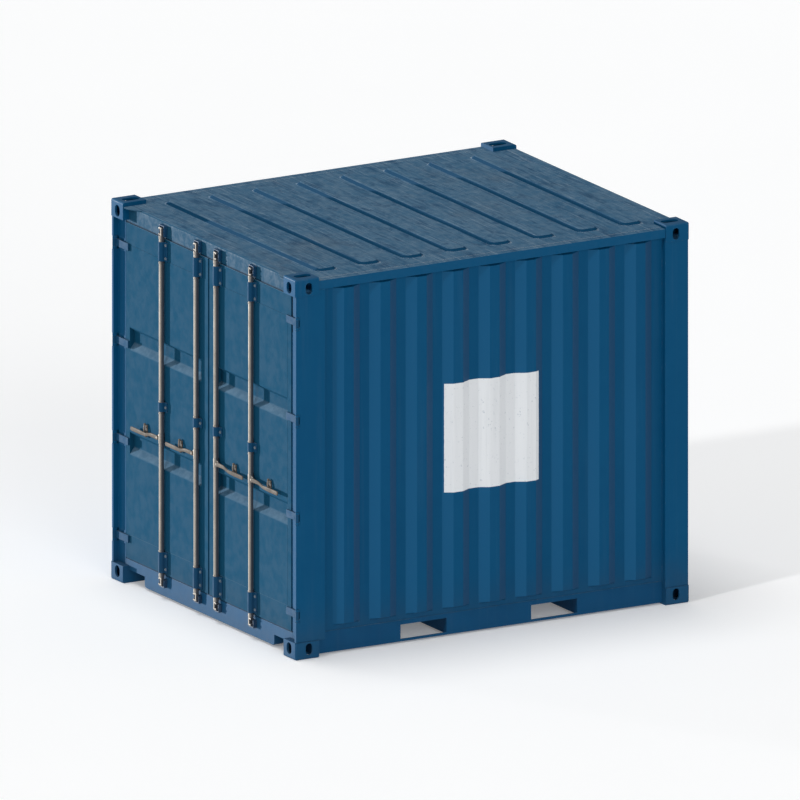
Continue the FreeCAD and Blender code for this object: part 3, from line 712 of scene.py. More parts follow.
@dataclass(frozen=True)
class RoofPaint:
    """Roof paint bleached and scuffed by weather and by stacked loads.

    Bleached patches at two sizes over blue, long scuffs across, a painted
    highlight line along the ribs' rims that turns into bared chips near their
    ends, by default a darker blue as painted shade on whatever isn't level, and
    faint brown where water stands.

    Args:
        name: The material's name.
        base: Colour between the bleached patches.
        bleached: Colour of the patches.
        deep: Colour of the dark scuffs.
        slope: Colour of whatever isn't level; by default a blue darker than the walls' paint, painted
            shade on the ribs' slopes.
        bare_and_highlight: Colour along the rims: a painted highlight line on every rim, bared steel
            near the rib ends.
        stain: Colour where water stands.
        chalk: Colour of the light scuffs.
        chips: Strength of the rim colour, painted highlight and bared chips.
    """
    name: str
    base: Colour = (0.026, 0.105, 0.195, 1.0)
    bleached: Colour = (0.105, 0.185, 0.265, 1.0)
    deep: Colour = (0.006, 0.05, 0.118, 1.0)
    # Painted shade: darker than the walls' blue, for the ribs' slopes.
    slope: Colour = (0.0, 0.042, 0.1, 1.0)
    # Painted highlight along every rim, and bared steel near the rib ends.
    bare_and_highlight: Colour = (0.42, 0.46, 0.5, 1.0)
    stain: Colour = (0.085, 0.1, 0.115, 1.0)
    chalk: Colour = (0.2, 0.28, 0.36, 1.0)
    chips: float = 0.8

    def material(self) -> Material:
        """Build the node material.

        Returns:
            The finished material.
        """
        nodes = Nodes(self.name)
        level = nodes.ramp(nodes.facing(2), 0.84, 0.97)
        broad = nodes.ramp(nodes.noise(2.2, 6.0, 0.68, warp=0.4), 0.3, 0.7)
        fine = nodes.ramp(nodes.noise(19.0, 6.0, 0.72, warp=0.3), 0.36, 0.66)
        cloud = nodes.math("ADD", nodes.times(broad, 0.35), nodes.times(fine, 0.65))
        colour = nodes.mix(cloud, self.base, self.bleached)
        dark = nodes.ramp(nodes.noise(1.0, 6.0, 0.75, nodes.stretched((9.0, 5.0, 5.0))), 0.5, 0.68)
        scuffs = nodes.ramp(nodes.noise(1.0, 5.0, 0.75, nodes.stretched((60.0, 3.0, 3.0))), 0.5, 0.66)
        rubbed = nodes.ramp(nodes.noise(1.0, 6.0, 0.8, nodes.stretched((95.0, 2.2, 2.2))), 0.54, 0.68)
        pond = nodes.ramp(nodes.noise(1.1, 4.0, 0.6), 0.5, 0.7)
        for cover, tint, strength in ((dark, self.deep, 0.7), (scuffs, self.deep, 0.7),
                                      (rubbed, self.chalk, 0.85), (pond, self.stain, 0.2)):
            colour = nodes.layer(colour, tint, cover, strength)
        # Whatever isn't level takes `slope`: on the roof that is painted shade, on the header and rails
        # their own paint colour.
        colour = nodes.mix(level, self.slope, colour)
        if self.chips:
            _, side, _ = nodes.axes()
            ends = nodes.ramp(nodes.math("ABSOLUTE", side), 0.9, 0.955)
            often = nodes.math("ADD", 0.3, nodes.times(ends, 0.7))
            # A painted highlight line along every rib rim at 0.3, rising to bared chips near the rib
            # ends.
            rim = nodes.times(nodes.ramp(nodes.edge_wear(0.012), 0.025, 0.06), often)
            colour = nodes.layer(colour, self.bare_and_highlight, rim, self.chips)
        rough = nodes.math("ADD", 0.6, nodes.times(fine, 0.25))
        normal = nodes.bump(nodes.noise(12.0, 5.0), 0.002, 0.4)
        normal = nodes.bump(nodes.noise(130.0, 3.0), 0.0005, 0.35, normal)
        return nodes.finish(colour, rough, normal, Specular_IOR_Level=0.1)


@dataclass(frozen=True)
class Zinc:
    """Hot-dip zinc on rods and handles: a faint spangle, dulled and stained by use.

    Args:
        name: The material's name.
        light: Colour of the brighter spangles.
        dark: Colour of the duller ones.
        stain: Colour of the spots.
        darkening: Painted shade: a dark colour laid on what faces away from the door end, standing in
            for the shaded side.
        facing_shading: Strength of that painted shade.
        gloss: Strength of the shine.
        metal: How metallic it looks.
    """
    name: str
    light: Colour = (0.36, 0.325, 0.28, 1.0)
    dark: Colour = (0.24, 0.215, 0.185, 1.0)
    stain: Colour = (0.17, 0.125, 0.09, 1.0)
    # Colour of the painted shade on the side away from the door end.
    darkening: Colour = (0.008, 0.022, 0.045, 1.0)
    facing_shading: float = 0.0
    gloss: float = 0.2
    metal: float = 0.15

    def material(self) -> Material:
        """Build the node material.

        Returns:
            The finished material.
        """
        nodes = Nodes(self.name)
        spangle = nodes.ramp(nodes.cells(120.0), 0.15, 0.75)
        dull = nodes.ramp(nodes.noise(9.0, 5.0, 0.65), 0.35, 0.7)
        colour = nodes.layer(self.light, self.dark, spangle, 0.35)
        colour = nodes.layer(colour, self.dark, dull, 0.5)
        spots = nodes.ramp(nodes.noise(48.0, 6.0, 0.72), 0.6, 0.7)
        colour = nodes.layer(colour, self.stain, spots, 0.55)
        # Painted shade: what faces away from the door end is darkened to stand in for the rod's shaded
        # side.
        if self.facing_shading:
            shaded_side = nodes.without(nodes.ramp(nodes.facing(0, -1.0), 0.45, 0.75))
            colour = nodes.layer(colour, self.darkening, shaded_side, self.facing_shading)
        rough = nodes.math("ADD", 0.5, nodes.times(dull, 0.25))
        normal = nodes.bump(nodes.noise(160.0, 3.0), 0.0004, 0.3)
        return nodes.finish(colour, rough, normal, Metallic=self.metal, Specular_IOR_Level=self.gloss)


@dataclass(frozen=True)
class Rubber:
    """Blue-black door seal, greyed with dust in its folds.

    Args:
        name: The material's name.
        clean: Colour of the clean rubber.
        dusty: Colour of the dusty rubber.
    """
    name: str
    clean: Colour = (0.001, 0.02, 0.048, 1.0)
    dusty: Colour = (0.004, 0.03, 0.06, 1.0)

    def material(self) -> Material:
        """Build the node material.

        Returns:
            The finished material.
        """
        nodes = Nodes(self.name)
        dust = nodes.ramp(nodes.noise(24.0, 5.0, 0.65), 0.45, 0.75)
        colour = nodes.layer(self.clean, self.dusty, dust, 0.5)
        rough = nodes.math("ADD", 0.62, nodes.times(dust, 0.25))
        return nodes.finish(colour, rough, nodes.bump(nodes.noise(300.0, 2.0), 0.0003, 0.4),
                            Specular_IOR_Level=0.05)


@dataclass(frozen=True)
class Plywood:
    """Oiled marine plywood deck: long grain along X, broad figure and dark stains.

    Args:
        name: The material's name.
        light: Colour of the wood.
        dark: Colour of the grain.
        stain: Colour of the stains.
    """
    name: str
    light: Colour = (0.27, 0.15, 0.075, 1.0)
    dark: Colour = (0.12, 0.06, 0.028, 1.0)
    stain: Colour = (0.05, 0.035, 0.025, 1.0)

    def material(self) -> Material:
        """Build the node material.

        Returns:
            The finished material.
        """
        nodes = Nodes(self.name)
        grain = nodes.noise(1.0, 8.0, 0.7, nodes.stretched((3.0, 70.0, 70.0)), warp=0.4)
        figure = nodes.ramp(nodes.noise(1.0, 3.0, 0.6, nodes.stretched((0.8, 9.0, 9.0))), 0.35, 0.7)
        colour = nodes.mix(nodes.ramp(grain, 0.3, 0.72), self.light, self.dark)
        colour = nodes.layer(colour, self.dark, figure, 0.4)
        stains = nodes.ramp(nodes.noise(3.5, 5.0, 0.7), 0.55, 0.7)
        colour = nodes.layer(colour, self.stain, stains, 0.45)
        rough = nodes.math("ADD", 0.5, nodes.times(stains, 0.2))
        return nodes.finish(colour, rough, nodes.bump(grain, 0.0008, 0.5))


class Slot(Enum):
    """The record's material slots."""
    BODY = "body_paint"
    DOOR = "door_paint"
    ROOF = "roof_paint"
    UNDER = "underframe_paint"
    ZINC = "galvanised"
    WOOD = "plywood"
    SEAL = "rubber_seal"


@dataclass
class Palette:
    """All the finishes, made once.

    Args:
        marking: The blank white rectangle on the right wall.
        body: Paint of the plain walls.
        post: Paint of the castings, posts and sill.
        marked: Paint of the wall with the rectangle.
        door: Paint of the doors.
        bracket: Paint of the hinge blades and rod guides.
        keeper: Worn paint of the keepers, a darker blue than the brackets' as painted shade.
        forged: Bare forged steel of handles and catches.
        under: Paint of the underframe.
        roof: Weathered paint of the roof, with painted shade on the ribs' slopes and a painted highlight
            along their rims.
        header: The same over the doors, with the doors' colour on its face.
        rail: The same over the walls, with the walls' colour on its face.
        zinc: Zinc of the rods, with painted shade on the side away from the door end.
        bolt: Zinc of the bolts.
        seal: Rubber.
        deck: Plywood.
    """
    marking: Marking
    body: Material = field(init=False)
    post: Material = field(init=False)
    marked: Material = field(init=False)
    door: Material = field(init=False)
    bracket: Material = field(init=False)
    keeper: Material = field(init=False)
    forged: Material = field(init=False)
    under: Material = field(init=False)
    roof: Material = field(init=False)
    header: Material = field(init=False)
    rail: Material = field(init=False)
    zinc: Material = field(init=False)
    bolt: Material = field(init=False)
    seal: Material = field(init=False)
    deck: Material = field(init=False)

    def __post_init__(self) -> None:
        """Mix every finish."""
        wall_blue, door_blue = (0.002, 0.066, 0.157, 1.0), (0.005, 0.054, 0.108, 1.0)
        blue = dict(base=wall_blue, deep=(0.001, 0.056, 0.14, 1.0), pale=(0.007, 0.077, 0.17, 1.0),
                    gloss=0.05)
        # The walls take the slope tints: painted light on slopes that face the doors, dust with a
        # painted warm reflection on those that face the rear end.
        wall = dict(streaks=0.03, chalking=0.0, chips=0.15, facing_shading=0.75, **blue)
        self.body = Paint("wall_paint", **wall).material()
        self.marked = Paint("marked_wall_paint", marking=self.marking, **wall).material()
        self.post = Paint("frame_paint", streaks=0.04, chalking=0.15, chips=0.3, **blue).material()
        self.door = Paint("door_paint", base=door_blue, deep=(0.005, 0.052, 0.105, 1.0),
                          pale=(0.006, 0.056, 0.111, 1.0), chalk=(0.1, 0.17, 0.24, 1.0), cloud=0.2,
                          streaks=0.015, chalking=1.1, chips=0.15, rough=0.74, gloss=0.025).material()
        self.bracket = Paint("bracket_paint", base=(0.004, 0.052, 0.12, 1.0),
                             deep=(0.003, 0.045, 0.108, 1.0), pale=(0.01, 0.06, 0.13, 1.0), streaks=0.05,
                             chalking=0.3, chips=0.3, rough=0.66, gloss=0.08).material()
        # The keepers' blue is darker than the brackets' as painted shade on the shaded cam area; their
        # light edges are worn primer.
        self.keeper = Paint("keeper_paint", base=(0.003, 0.04, 0.1, 1.0),
                            deep=(0.002, 0.028, 0.07, 1.0), pale=(0.01, 0.05, 0.11, 1.0),
                            primer=(0.36, 0.33, 0.3, 1.0), chalking=0.0, chips=1.0,
                            gloss=0.2).material()
        self.under = Paint("underframe_paint", base=(0.002, 0.06, 0.15, 1.0),
                           deep=(0.001, 0.045, 0.12, 1.0), pale=(0.008, 0.075, 0.165, 1.0),
                           rough=0.6, darkening=0.08, streaks=0.04, chips=0.2, gloss=0.08).material()
        self.roof = RoofPaint("roof_paint").material()
        self.header = RoofPaint("header_paint", chips=0.0, slope=door_blue).material()
        self.rail = RoofPaint("rail_paint", chips=0.0, slope=wall_blue).material()
        # The rods' zinc carries painted shade on the side away from the door end.
        self.zinc = Zinc("rod_zinc", facing_shading=0.85).material()
        self.forged = Zinc("forged_zinc", light=(0.15, 0.13, 0.11, 1.0), dark=(0.06, 0.052, 0.046, 1.0),
                           gloss=0.04, metal=0.0).material()
        self.bolt = Zinc("bolt_zinc", light=(0.2, 0.24, 0.28, 1.0),
                         dark=(0.05, 0.09, 0.13, 1.0)).material()
        self.seal = Rubber("door_seal").material()
        self.deck = Plywood("deck").material()


# --------------------------------------------------------------- steelwork
@dataclass
class Steelwork:
    """Frame members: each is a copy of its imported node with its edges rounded.

    Args:
        palette: The finishes.
        rounding: Radius of an ordinary edge.
        sheet_rounding: Radius of a thin plate's edge.
        casting_rounding: Radius of a corner casting's edge.
    """
    palette: Palette
    rounding: float = 0.0025
    sheet_rounding: float = 0.0015
    casting_rounding: float = 0.004

    def soften(self, node: str, body: str, finish: Material,
               rounding: float) -> bpy.types.Object:
        """Round the edges of one node's copy and let it stand for the node.

        Args:
            node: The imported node.
            body: The body that it rides on.
            finish: Its material.
            rounding: Radius of its edges.

        Returns:
            The new piece.
        """
        mesh = frame["nodes"][node].data.copy()
        mesh.materials.clear()
        mesh.name = node + "_rounded"
        shape = bmesh.new()
        shape.from_mesh(mesh)
        bmesh.ops.remove_doubles(shape, verts=shape.verts, dist=2e-5)
        bmesh.ops.dissolve_limit(shape, angle_limit=math.radians(0.5), verts=shape.verts,
                                 edges=shape.edges)
        bmesh.ops.recalc_face_normals(shape, faces=shape.faces)
        shape.to_mesh(mesh)
        shape.free()
        for name in ("sharp_face", "custom_normal"):
            if name in mesh.attributes:
                mesh.attributes.remove(mesh.attributes[name])
        piece = dress(node + "_rounded", mesh, body, finish, 30.0)
        bevel = piece.modifiers.new("rounding", "BEVEL")
        bevel.width = rounding
        bevel.segments = 2
        bevel.limit_method = "ANGLE"
        bevel.angle_limit = math.radians(35.0)
        bevel.harden_normals = True
        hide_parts(node)
        return piece

    def build(self) -> None:
        """Round every frame member, and give the deck and the gaskets their finish."""
        paint = self.palette
        groups = (
            (("top_corner_castings", "bottom_corner_castings"), Slot.BODY, paint.post,
             self.casting_rounding),
            (("left_door_post", "right_door_post", "left_rear_post", "right_rear_post", "door_sill",
              "left_hinge_lugs", "right_hinge_lugs"), Slot.BODY, paint.post, self.rounding),
            (("door_header",), Slot.BODY, paint.header, self.rounding),
            (("left_top_rail", "right_top_rail", "rear_top_rail"), Slot.BODY, paint.rail,
             self.rounding),
            (("top_keepers", "bottom_keepers"), Slot.BODY, paint.keeper, self.rounding),
            (("left_bottom_rail", "right_bottom_rail", "rear_bottom_rail", "forklift_pockets",
              "cross_members"), Slot.UNDER, paint.under, self.sheet_rounding),
        )
        for nodes, slot, finish, rounding in groups:
            for node in nodes:
                self.soften(node, "container", finish, rounding)
        for side in ("left", "right"):
            for part, finish, rounding in (("_door_frame", paint.door, self.rounding),
                                           ("_hinge_blades", paint.bracket, self.rounding),
                                           ("_rod_guides", paint.bracket, self.sheet_rounding)):
                self.soften(side + part, side + "_door", finish, rounding)
        for node, finish in (("floor", paint.deck), ("left_door_gasket", paint.seal),
                             ("right_door_gasket", paint.seal)):
            mesh = frame["nodes"][node].data
            mesh.materials.clear()
            mesh.materials.append(finish)


# --------------------------------------------------------------- pressed sheets
@dataclass
class PressedSheet:
    """A thin steel sheet with crests pressed out of it, every bend rounded.

    Over the sheet's own coordinates (along, up) the height is
    rise * ramp(softmin(A, B)).  A falls from the middle of the nearest crest
    across its slope, B rises from the crest's ends over their run, and the
    ramp holds the value between 0 and 1 with rounded corners.

    Args:
        node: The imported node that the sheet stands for.
        place: Turns arrays (along, up, out) into points.
        along: The sheet's range along.
        up: The sheet's range up.
        centres: Middles of the crests.
        flat: Width of a crest's flat top.
        slope: Width of each slope.
        low: Where the crests start.
        high: Where they end.
        run: Length of an end's slope.
        rise: Height of a crest.
        thickness: The sheet's thickness.
        bend: Rounding of the bends, as a share of a slope.
        sag: Depth of gentle dents.
        corner: Radius of a crest's corners seen from above, or 0 for mitred ones.
    """
    node: str
    place: Callable[[np.ndarray, np.ndarray, np.ndarray], np.ndarray]
    along: tuple[float, float]
    up: tuple[float, float]
    centres: np.ndarray
    flat: float
    slope: float
    low: float
    high: float
    run: float
    rise: float
    thickness: float
    bend: float = 0.06
    sag: float = 0.0012
    corner: float = 0.0

    def stations(self) -> Surface:
        """Grid lines, close together over slopes, bends and round corners.

        Returns:
            Places along and places up.
        """
        half = self.flat / 2
        bend = self.bend * np.array([-1.1, -1.0, -0.5, 0.0, 0.5, 1.0, 1.1])
        bends = np.concatenate([bend, 1.0 + bend])
        turn = -np.arange(0.005, self.corner, 0.005)[::-1]
        fine = np.concatenate([turn, bends * self.slope])
        offsets = np.concatenate([-(half + fine)[::-1], [0.0], half + fine])
        columns = (self.centres[:, None] + offsets[None, :]).ravel()
        columns = np.concatenate([[self.along[0]], columns, [self.along[1]]])
        columns = np.unique(np.round(np.clip(columns, *self.along), 5))
        ends = np.concatenate([bends * self.run, self.run - 1.15 * turn[::-1]])
        middle = np.linspace(self.low + 1.3 * self.run, self.high - 1.3 * self.run, 16)
        rows = np.concatenate([[self.up[0]], self.low + ends, middle, self.high - ends[::-1],
                               [self.up[1]]])
        return columns, np.unique(np.round(np.clip(rows, *self.up), 5))

    def height(self, along: np.ndarray, up: np.ndarray) -> np.ndarray:
        """How far the sheet stands out at each place.

        Args:
            along: Places along.
            up: Places up.

        Returns:
            The heights, less gentle dents that fade out towards the top and foot.
        """
        distance = np.abs(along[..., None] - self.centres).min(axis=-1)
        crest = (self.flat / 2 + self.slope - distance) / self.slope
        ends = np.minimum(up - self.low, self.high - up) / self.run
        if self.corner:
            turn = self.corner / self.slope
            short = np.hypot(np.clip(turn - crest, 0.0, None), np.clip(turn - ends, 0.0, None))
            crest = np.where(np.minimum(crest, ends) < turn, turn - short, np.minimum(crest, ends))
        pressed = soft_ramp(soft_min(crest, ends, self.bend), self.bend) * self.rise
        edge = np.minimum(up - self.up[0], self.up[1] - up) / 0.3
        broad = np.sin(along * 5.1 + 1.3) * np.sin(up * 3.7 + 0.4)
        dents = broad + 0.5 * np.sin(along * 11.3) * np.sin(up * 7.9 + 2.0)
        return pressed - self.sag * np.clip(edge, 0.0, 1.0) * (1.0 + dents) / 2.5

    def build(self, slot: Slot, finish: Material) -> bpy.types.Object:
        """Make the sheet as a closed skin: front grid, back grid and the rim between.

        The back is the front moved inwards by the thickness, square to the
        surface, or straight in along the rim.

        Args:
            slot: Its material slot.
            finish: Its material.

        Returns:
            The new piece.
        """
        columns, rows = self.stations()
        along, up = np.meshgrid(columns, rows)
        out = self.height(along, up)
        front = self.place(along, up, out)
        step_u = np.gradient(front, axis=1)
        step_v = np.gradient(front, axis=0)
        normal = np.cross(step_u, step_v)
        normal /= np.linalg.norm(normal, axis=2)[..., None]
        outward = self.place(along, up, out + 1.0) - front
        normal *= np.sign((normal * outward).sum(axis=2))[..., None]
        back = front - normal * self.thickness
        rim = [np.s_[0, :], np.s_[-1, :], np.s_[:, 0], np.s_[:, -1]]
        for part in rim:
            back[part] = (front - outward * self.thickness)[part]
        skin = Skin(self.node + "_pressed")
        quads = grid_quads(len(rows), len(columns))
        skin.add(front, quads)
        skin.add(back, quads[:, ::-1])
        for part in rim:
            edge = np.stack([front[part], back[part]])
            skin.add(edge, grid_quads(2, edge.shape[1]))
        piece = skin.build("container", slot, finish, 50.0)
        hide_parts(self.node)
        return piece


@dataclass
class Shell:
    """The container's walls and roof.

    Args:
        palette: The finishes.
        crest_pitch: Distance between the walls' crests.
        crest_flat: Width of a crest's flat top.
        crest_slope: Width of each of its slopes.
        crest_margin_low: From a wall's foot to where its crests start.
        crest_margin_high: From where they end to its top.
        crest_run: Length of the slope at a crest's end.
        rib_pitch: Distance between the roof's ribs.
        rib_flat: Width of a rib's flat top.
        rib_slope: Width of each of its slopes.
        rib_run: Length of the slope at a rib's end.
        rib_reach: From the middle line to a rib's end.
        rib_start: From the door end to the first rib.
        sheet: Thickness of the sheets.
    """
    palette: Palette
    crest_pitch: float = 0.277
    crest_flat: float = 0.072
    crest_slope: float = 0.068
    crest_margin_low: float = 0.032
    crest_margin_high: float = 0.001
    crest_run: float = 0.014
    rib_pitch: float = 0.3316
    rib_flat: float = 0.118
    rib_slope: float = 0.024
    rib_run: float = 0.024
    rib_reach: float = 1.019
    rib_start: float = 0.28
    sheet: float = 0.002

    def wall(self, node: str, axis: int, sign: float, count: int, finish: Material) -> None:
        """Press one wall with its upright crests.

        Args:
            node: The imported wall.
            axis: The axis that it faces along, 0 for X or 1 for Y.
            sign: Which way it faces.
            count: Number of crests, an odd one.
            finish: Its material.
        """
        low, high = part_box(node)
        length = 1 - axis
        inner = min(abs(low[axis]), abs(high[axis]))
        outer = max(abs(low[axis]), abs(high[axis]))
        base = inner + self.sheet

        def place(along: np.ndarray, up: np.ndarray, out: np.ndarray) -> np.ndarray:
            """Point of the wall: out counts away from the container's middle."""
            flat = sign * (base + out)
            return np.stack([flat, along, up] if axis == 0 else [along, flat, up], axis=-1)

        middle = (low[length] + high[length]) / 2
        centres = middle + self.crest_pitch * (np.arange(count) - count // 2)
        PressedSheet(node, place, (low[length], high[length]), (low[2], high[2]), centres,
                     self.crest_flat, self.crest_slope, low[2] + self.crest_margin_low,
                     high[2] - self.crest_margin_high, self.crest_run, outer - base,
                     self.sheet).build(Slot.BODY, finish)

    def walls(self) -> None:
        """Both side walls and the end wall."""
        self.wall("right_wall", 1, -1.0, 9, self.palette.marked)
        self.wall("left_wall", 1, 1.0, 9, self.palette.body)
        self.wall("end_wall", 0, 1.0, 7, self.palette.body)

    def roof(self) -> None:
        """The roof with its crosswise ribs."""
        low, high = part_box("roof")
        base = low[2] + self.sheet

        def place(along: np.ndarray, up: np.ndarray, out: np.ndarray) -> np.ndarray:
            """Point of the roof: along is X, up is Y, out is Z."""
            return np.stack([along, up, base + out], axis=-1)

        first = CAD_BOX[0][0] + self.rib_start + self.rib_flat / 2 + self.rib_slope
        centres = first + self.rib_pitch * np.arange(8)
        PressedSheet("roof", place, (low[0], high[0]), (low[1], high[1]), centres, self.rib_flat,
                     self.rib_slope, -self.rib_reach, self.rib_reach, self.rib_run,
                     high[2] - base, self.sheet,
                     bend=0.22, sag=0.003, corner=0.055).build(Slot.ROOF, self.palette.roof)


@dataclass
class DoorSkin:
    """A door's sheet: a profile over height, carried straight across the door.

    The depth is a chain of ramps: it drops over the short ledge, stays at the
    back, and comes out again over the long slope, each bend rounded.

    Args:
        side: left or right.
        palette: The finishes.
        ledge: Height of the short upper ramp of a sunk band.
        drop: From a band's top edge down to its long slope.
        slope: Height of the long slope.
        band_tops: Heights of the bands' top edges.
        sheet: Thickness of the sheet.
        across: Points across the door.
    """
    side: str
    palette: Palette
    ledge: float = 0.028
    drop: float = 0.107
    slope: float = 0.042
    band_tops: tuple[float, ...] = (1.033, 1.745)
    sheet: float = 0.003
    across: int = 12

    def depth(self, up: np.ndarray, full: float) -> np.ndarray:
        """How far the sheet lies back.

        Args:
            up: Heights.
            full: Depth of a band.

        Returns:
            The depth at each height.
        """
        result = np.zeros_like(up)
        for top in self.band_tops:
            down = soft_ramp((top - up) / self.ledge, 0.12)
            rising = (top - self.drop - up) / self.slope
            result += full * soft_min(down, 1.0 - soft_ramp(rising, 0.16), 0.05).clip(0.0)
        return result

    def build(self) -> bpy.types.Object:
        """Make the sheet, closed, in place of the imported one.

        Returns:
            The new piece.
        """
        node = self.side + "_door_sheet"
        low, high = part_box(node)
        full = high[0] - low[0] - self.sheet
        rows = [np.linspace(low[2], high[2], 12)]
        for top in self.band_tops:
            bottom = top - self.drop - self.slope
            rows.append(np.linspace(bottom - 0.012, top + 0.006, 60))
        up = np.unique(np.round(np.concatenate(rows), 5))
        line = np.linspace(low[1], high[1], self.across)
        front = low[0] + self.depth(up, full)
        lean = np.gradient(front, up)
        behind = front + self.sheet * np.sqrt(1.0 + np.minimum(lean * lean, 4.0))
        profile = np.concatenate([np.stack([front, up], axis=1), np.stack([behind, up], axis=1)[::-1]])
        shape = (self.across, len(profile))
        rings = np.stack([np.broadcast_to(profile[:, 0], shape), np.broadcast_to(line[:, None], shape),
                          np.broadcast_to(profile[:, 1], shape)], axis=-1)
        skin = Skin(node + "_pressed")
        skin.add(rings, grid_quads(*shape, wrap=True))
        half = len(up)
        for ring in (rings[0], rings[-1]):
            strip = np.stack([ring[:half], ring[half:][::-1]])
            skin.add(strip, grid_quads(2, half))
        piece = skin.build(self.side + "_door", Slot.DOOR, self.palette.door, 50.0)
        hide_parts(node)
        return piece


# --------------------------------------------------------------- locking gear
@dataclass
class LockGear:
    """One lock rod with its cams and hub, its handle and the handle's catch.

    Args:
        number: Which rod, 1 to 4, from the container's left.
        palette: The finishes.
        rod_radius: Radius of the rod.
        rod_span: Heights of its ends.
        cam_spans: Heights of each claw's ends, lower claw first.
        cam_radius: Radius of a claw's collar.
        jaw: Thickness of a claw's jaw.
        jaw_reach: From the rod's axis to a jaw's tip.
        collar: How far a collar stands out from the rod.
        collar_feet: Heights of the collars' lower rims.
        hub_height: Height of the hub at the rod.
        hub_thickness: Thickness of its plate.
        handle_width: Width of the handle.
        handle_depth: Thickness of the handle.
        catch_distance: From the rod's axis to the catch.
        catch_height: Height of the catch.
    """
    number: int
    palette: Palette
    rod_radius: float = 0.0165
    rod_span: tuple[float, float] = (0.15, 2.468)
    cam_spans: tuple[tuple[float, float], ...] = ((0.094, 0.176), (2.452, 2.534))
    cam_radius: float = 0.0185
    jaw: float = 0.013
    jaw_reach: float = 0.0175
    collar: float = 0.0025
    collar_feet: tuple[float, ...] = (0.325, 1.262, 1.344, 2.288)
    hub_height: float = 0.066
    hub_thickness: float = 0.012
    handle_width: float = 0.028
    handle_depth: float = 0.01
    catch_distance: float = 0.225
    catch_height: float = 0.094

    def build(self) -> None:
        """Make the rod, the handle and the catch."""
        rod = joint_place("lock_rod_%d_turn" % self.number)
        pivot = joint_place("handle_%d_lift" % self.number)
        towards = 1.0 if pivot[1] > rod[1] else -1.0
        self.rod(rod, pivot, towards)
        self.handle(pivot)
        self.catch(rod, pivot, towards)

    def tube(self, x: float, y: float, low: float, high: float, radius: float,
             edge: float) -> Surface:
        """Upright round bar whose two rims are rounded by a quarter circle.

        Args:
            x: Its axis.
            y: Its axis.
            low: Height of its foot.
            high: Height of its top.
            radius: Its radius.
            edge: Radius of its rims.

        Returns:
            Points and faces.
        """
        turn = np.linspace(0.0, math.pi / 2, 4)
        foot = np.stack([radius - edge + edge * np.sin(turn), edge - edge * np.cos(turn)], axis=1)
        head = np.stack([foot[::-1, 0], high - low - foot[::-1, 1]], axis=1)
        profile = np.concatenate([[[0.0, 0.0]], foot, head, [[0.0, high - low]]])
        return turned(profile, (x, y, low), (0, 0, 1), 36)

    def rod(self, rod: Sequence[float], pivot: Sequence[float], towards: float) -> None:
        """Draw the rod, its collars, a claw at each end and the handle's hub.

        Args:
            rod: A point on the rod's axis.
            pivot: The handle's pivot.
            towards: 1 or -1, the way along Y that the handle points.
        """
        node = "lock_rod_%d" % self.number
        x, y = rod[0], rod[1]
        skin = Skin(node + "_forged")
        skin.add(*self.tube(x, y, self.rod_span[0], self.rod_span[1], self.rod_radius, 0.002))
        for height in self.collar_feet:
            skin.add(*self.tube(x, y, height, height + 0.01, self.rod_radius + self.collar, 0.001))
        for (low, high), up in zip(self.cam_spans, (-1.0, 1.0)):
            self.cam(skin, (x, y), (high, low) if up > 0 else (low, high), towards)
        self.hub(skin, rod, pivot, towards)
        piece = skin.build(node, Slot.ZINC, self.palette.zinc)
        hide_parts(node)

    def cam(self, skin: Skin, axis: Sequence[float], span: tuple[float, float], towards: float) -> None:
        """Claw: a collar, an upright web to one side, and two jaws with the gap between them open.

        A jaw is a rounded bar along Y that swells to its tip as 1 + 0.25 t and
        turns in towards the gap by 4 mm over its last third, as 1 - cos.

        Args:
            skin: The skin that takes it.
            axis: The rod's axis, x and y.
            span: Heights of the claw's outer and inner ends.
            towards: 1 or -1, the way along Y that the claw opens.
        """
        x, y = axis
        outer, inner = span
        way = math.copysign(1.0, inner - outer)
        ends = sorted((outer + way * 0.056, inner))
        skin.add(*self.tube(x, y, ends[0], ends[1], self.cam_radius - 0.0005, 0.003))
        web = np.stack([np.full(8, x), np.full(8, y - towards * 0.0095),
                        np.linspace(outer + way * 0.003, outer + way * 0.06, 8)], axis=1)
        skin.add(*swept(web, rounded_bar(0.014, 0.024, 5.0, 20), (0, 1, 0)))
        share = np.linspace(0.0, 1.0, 12)
        curl = np.clip((share - 0.66) / 0.34, 0.0, 1.0) * math.pi / 2
        for depth, turn in ((self.jaw / 2, 1.0), (0.049, -1.0)):
            away = -self.cam_radius + share * (self.cam_radius + self.jaw_reach)
            path = np.stack([np.full_like(share, x), y + towards * away,
                             outer + way * (depth + turn * 0.004 * (1.0 - np.cos(curl)))], axis=1)
            swell = np.stack([0.75 + 0.25 * share, 0.85 + 0.15 * share], axis=1)
            skin.add(*swept(path, rounded_bar(0.026, self.jaw, 5.0, 20), (1, 0, 0), swell))

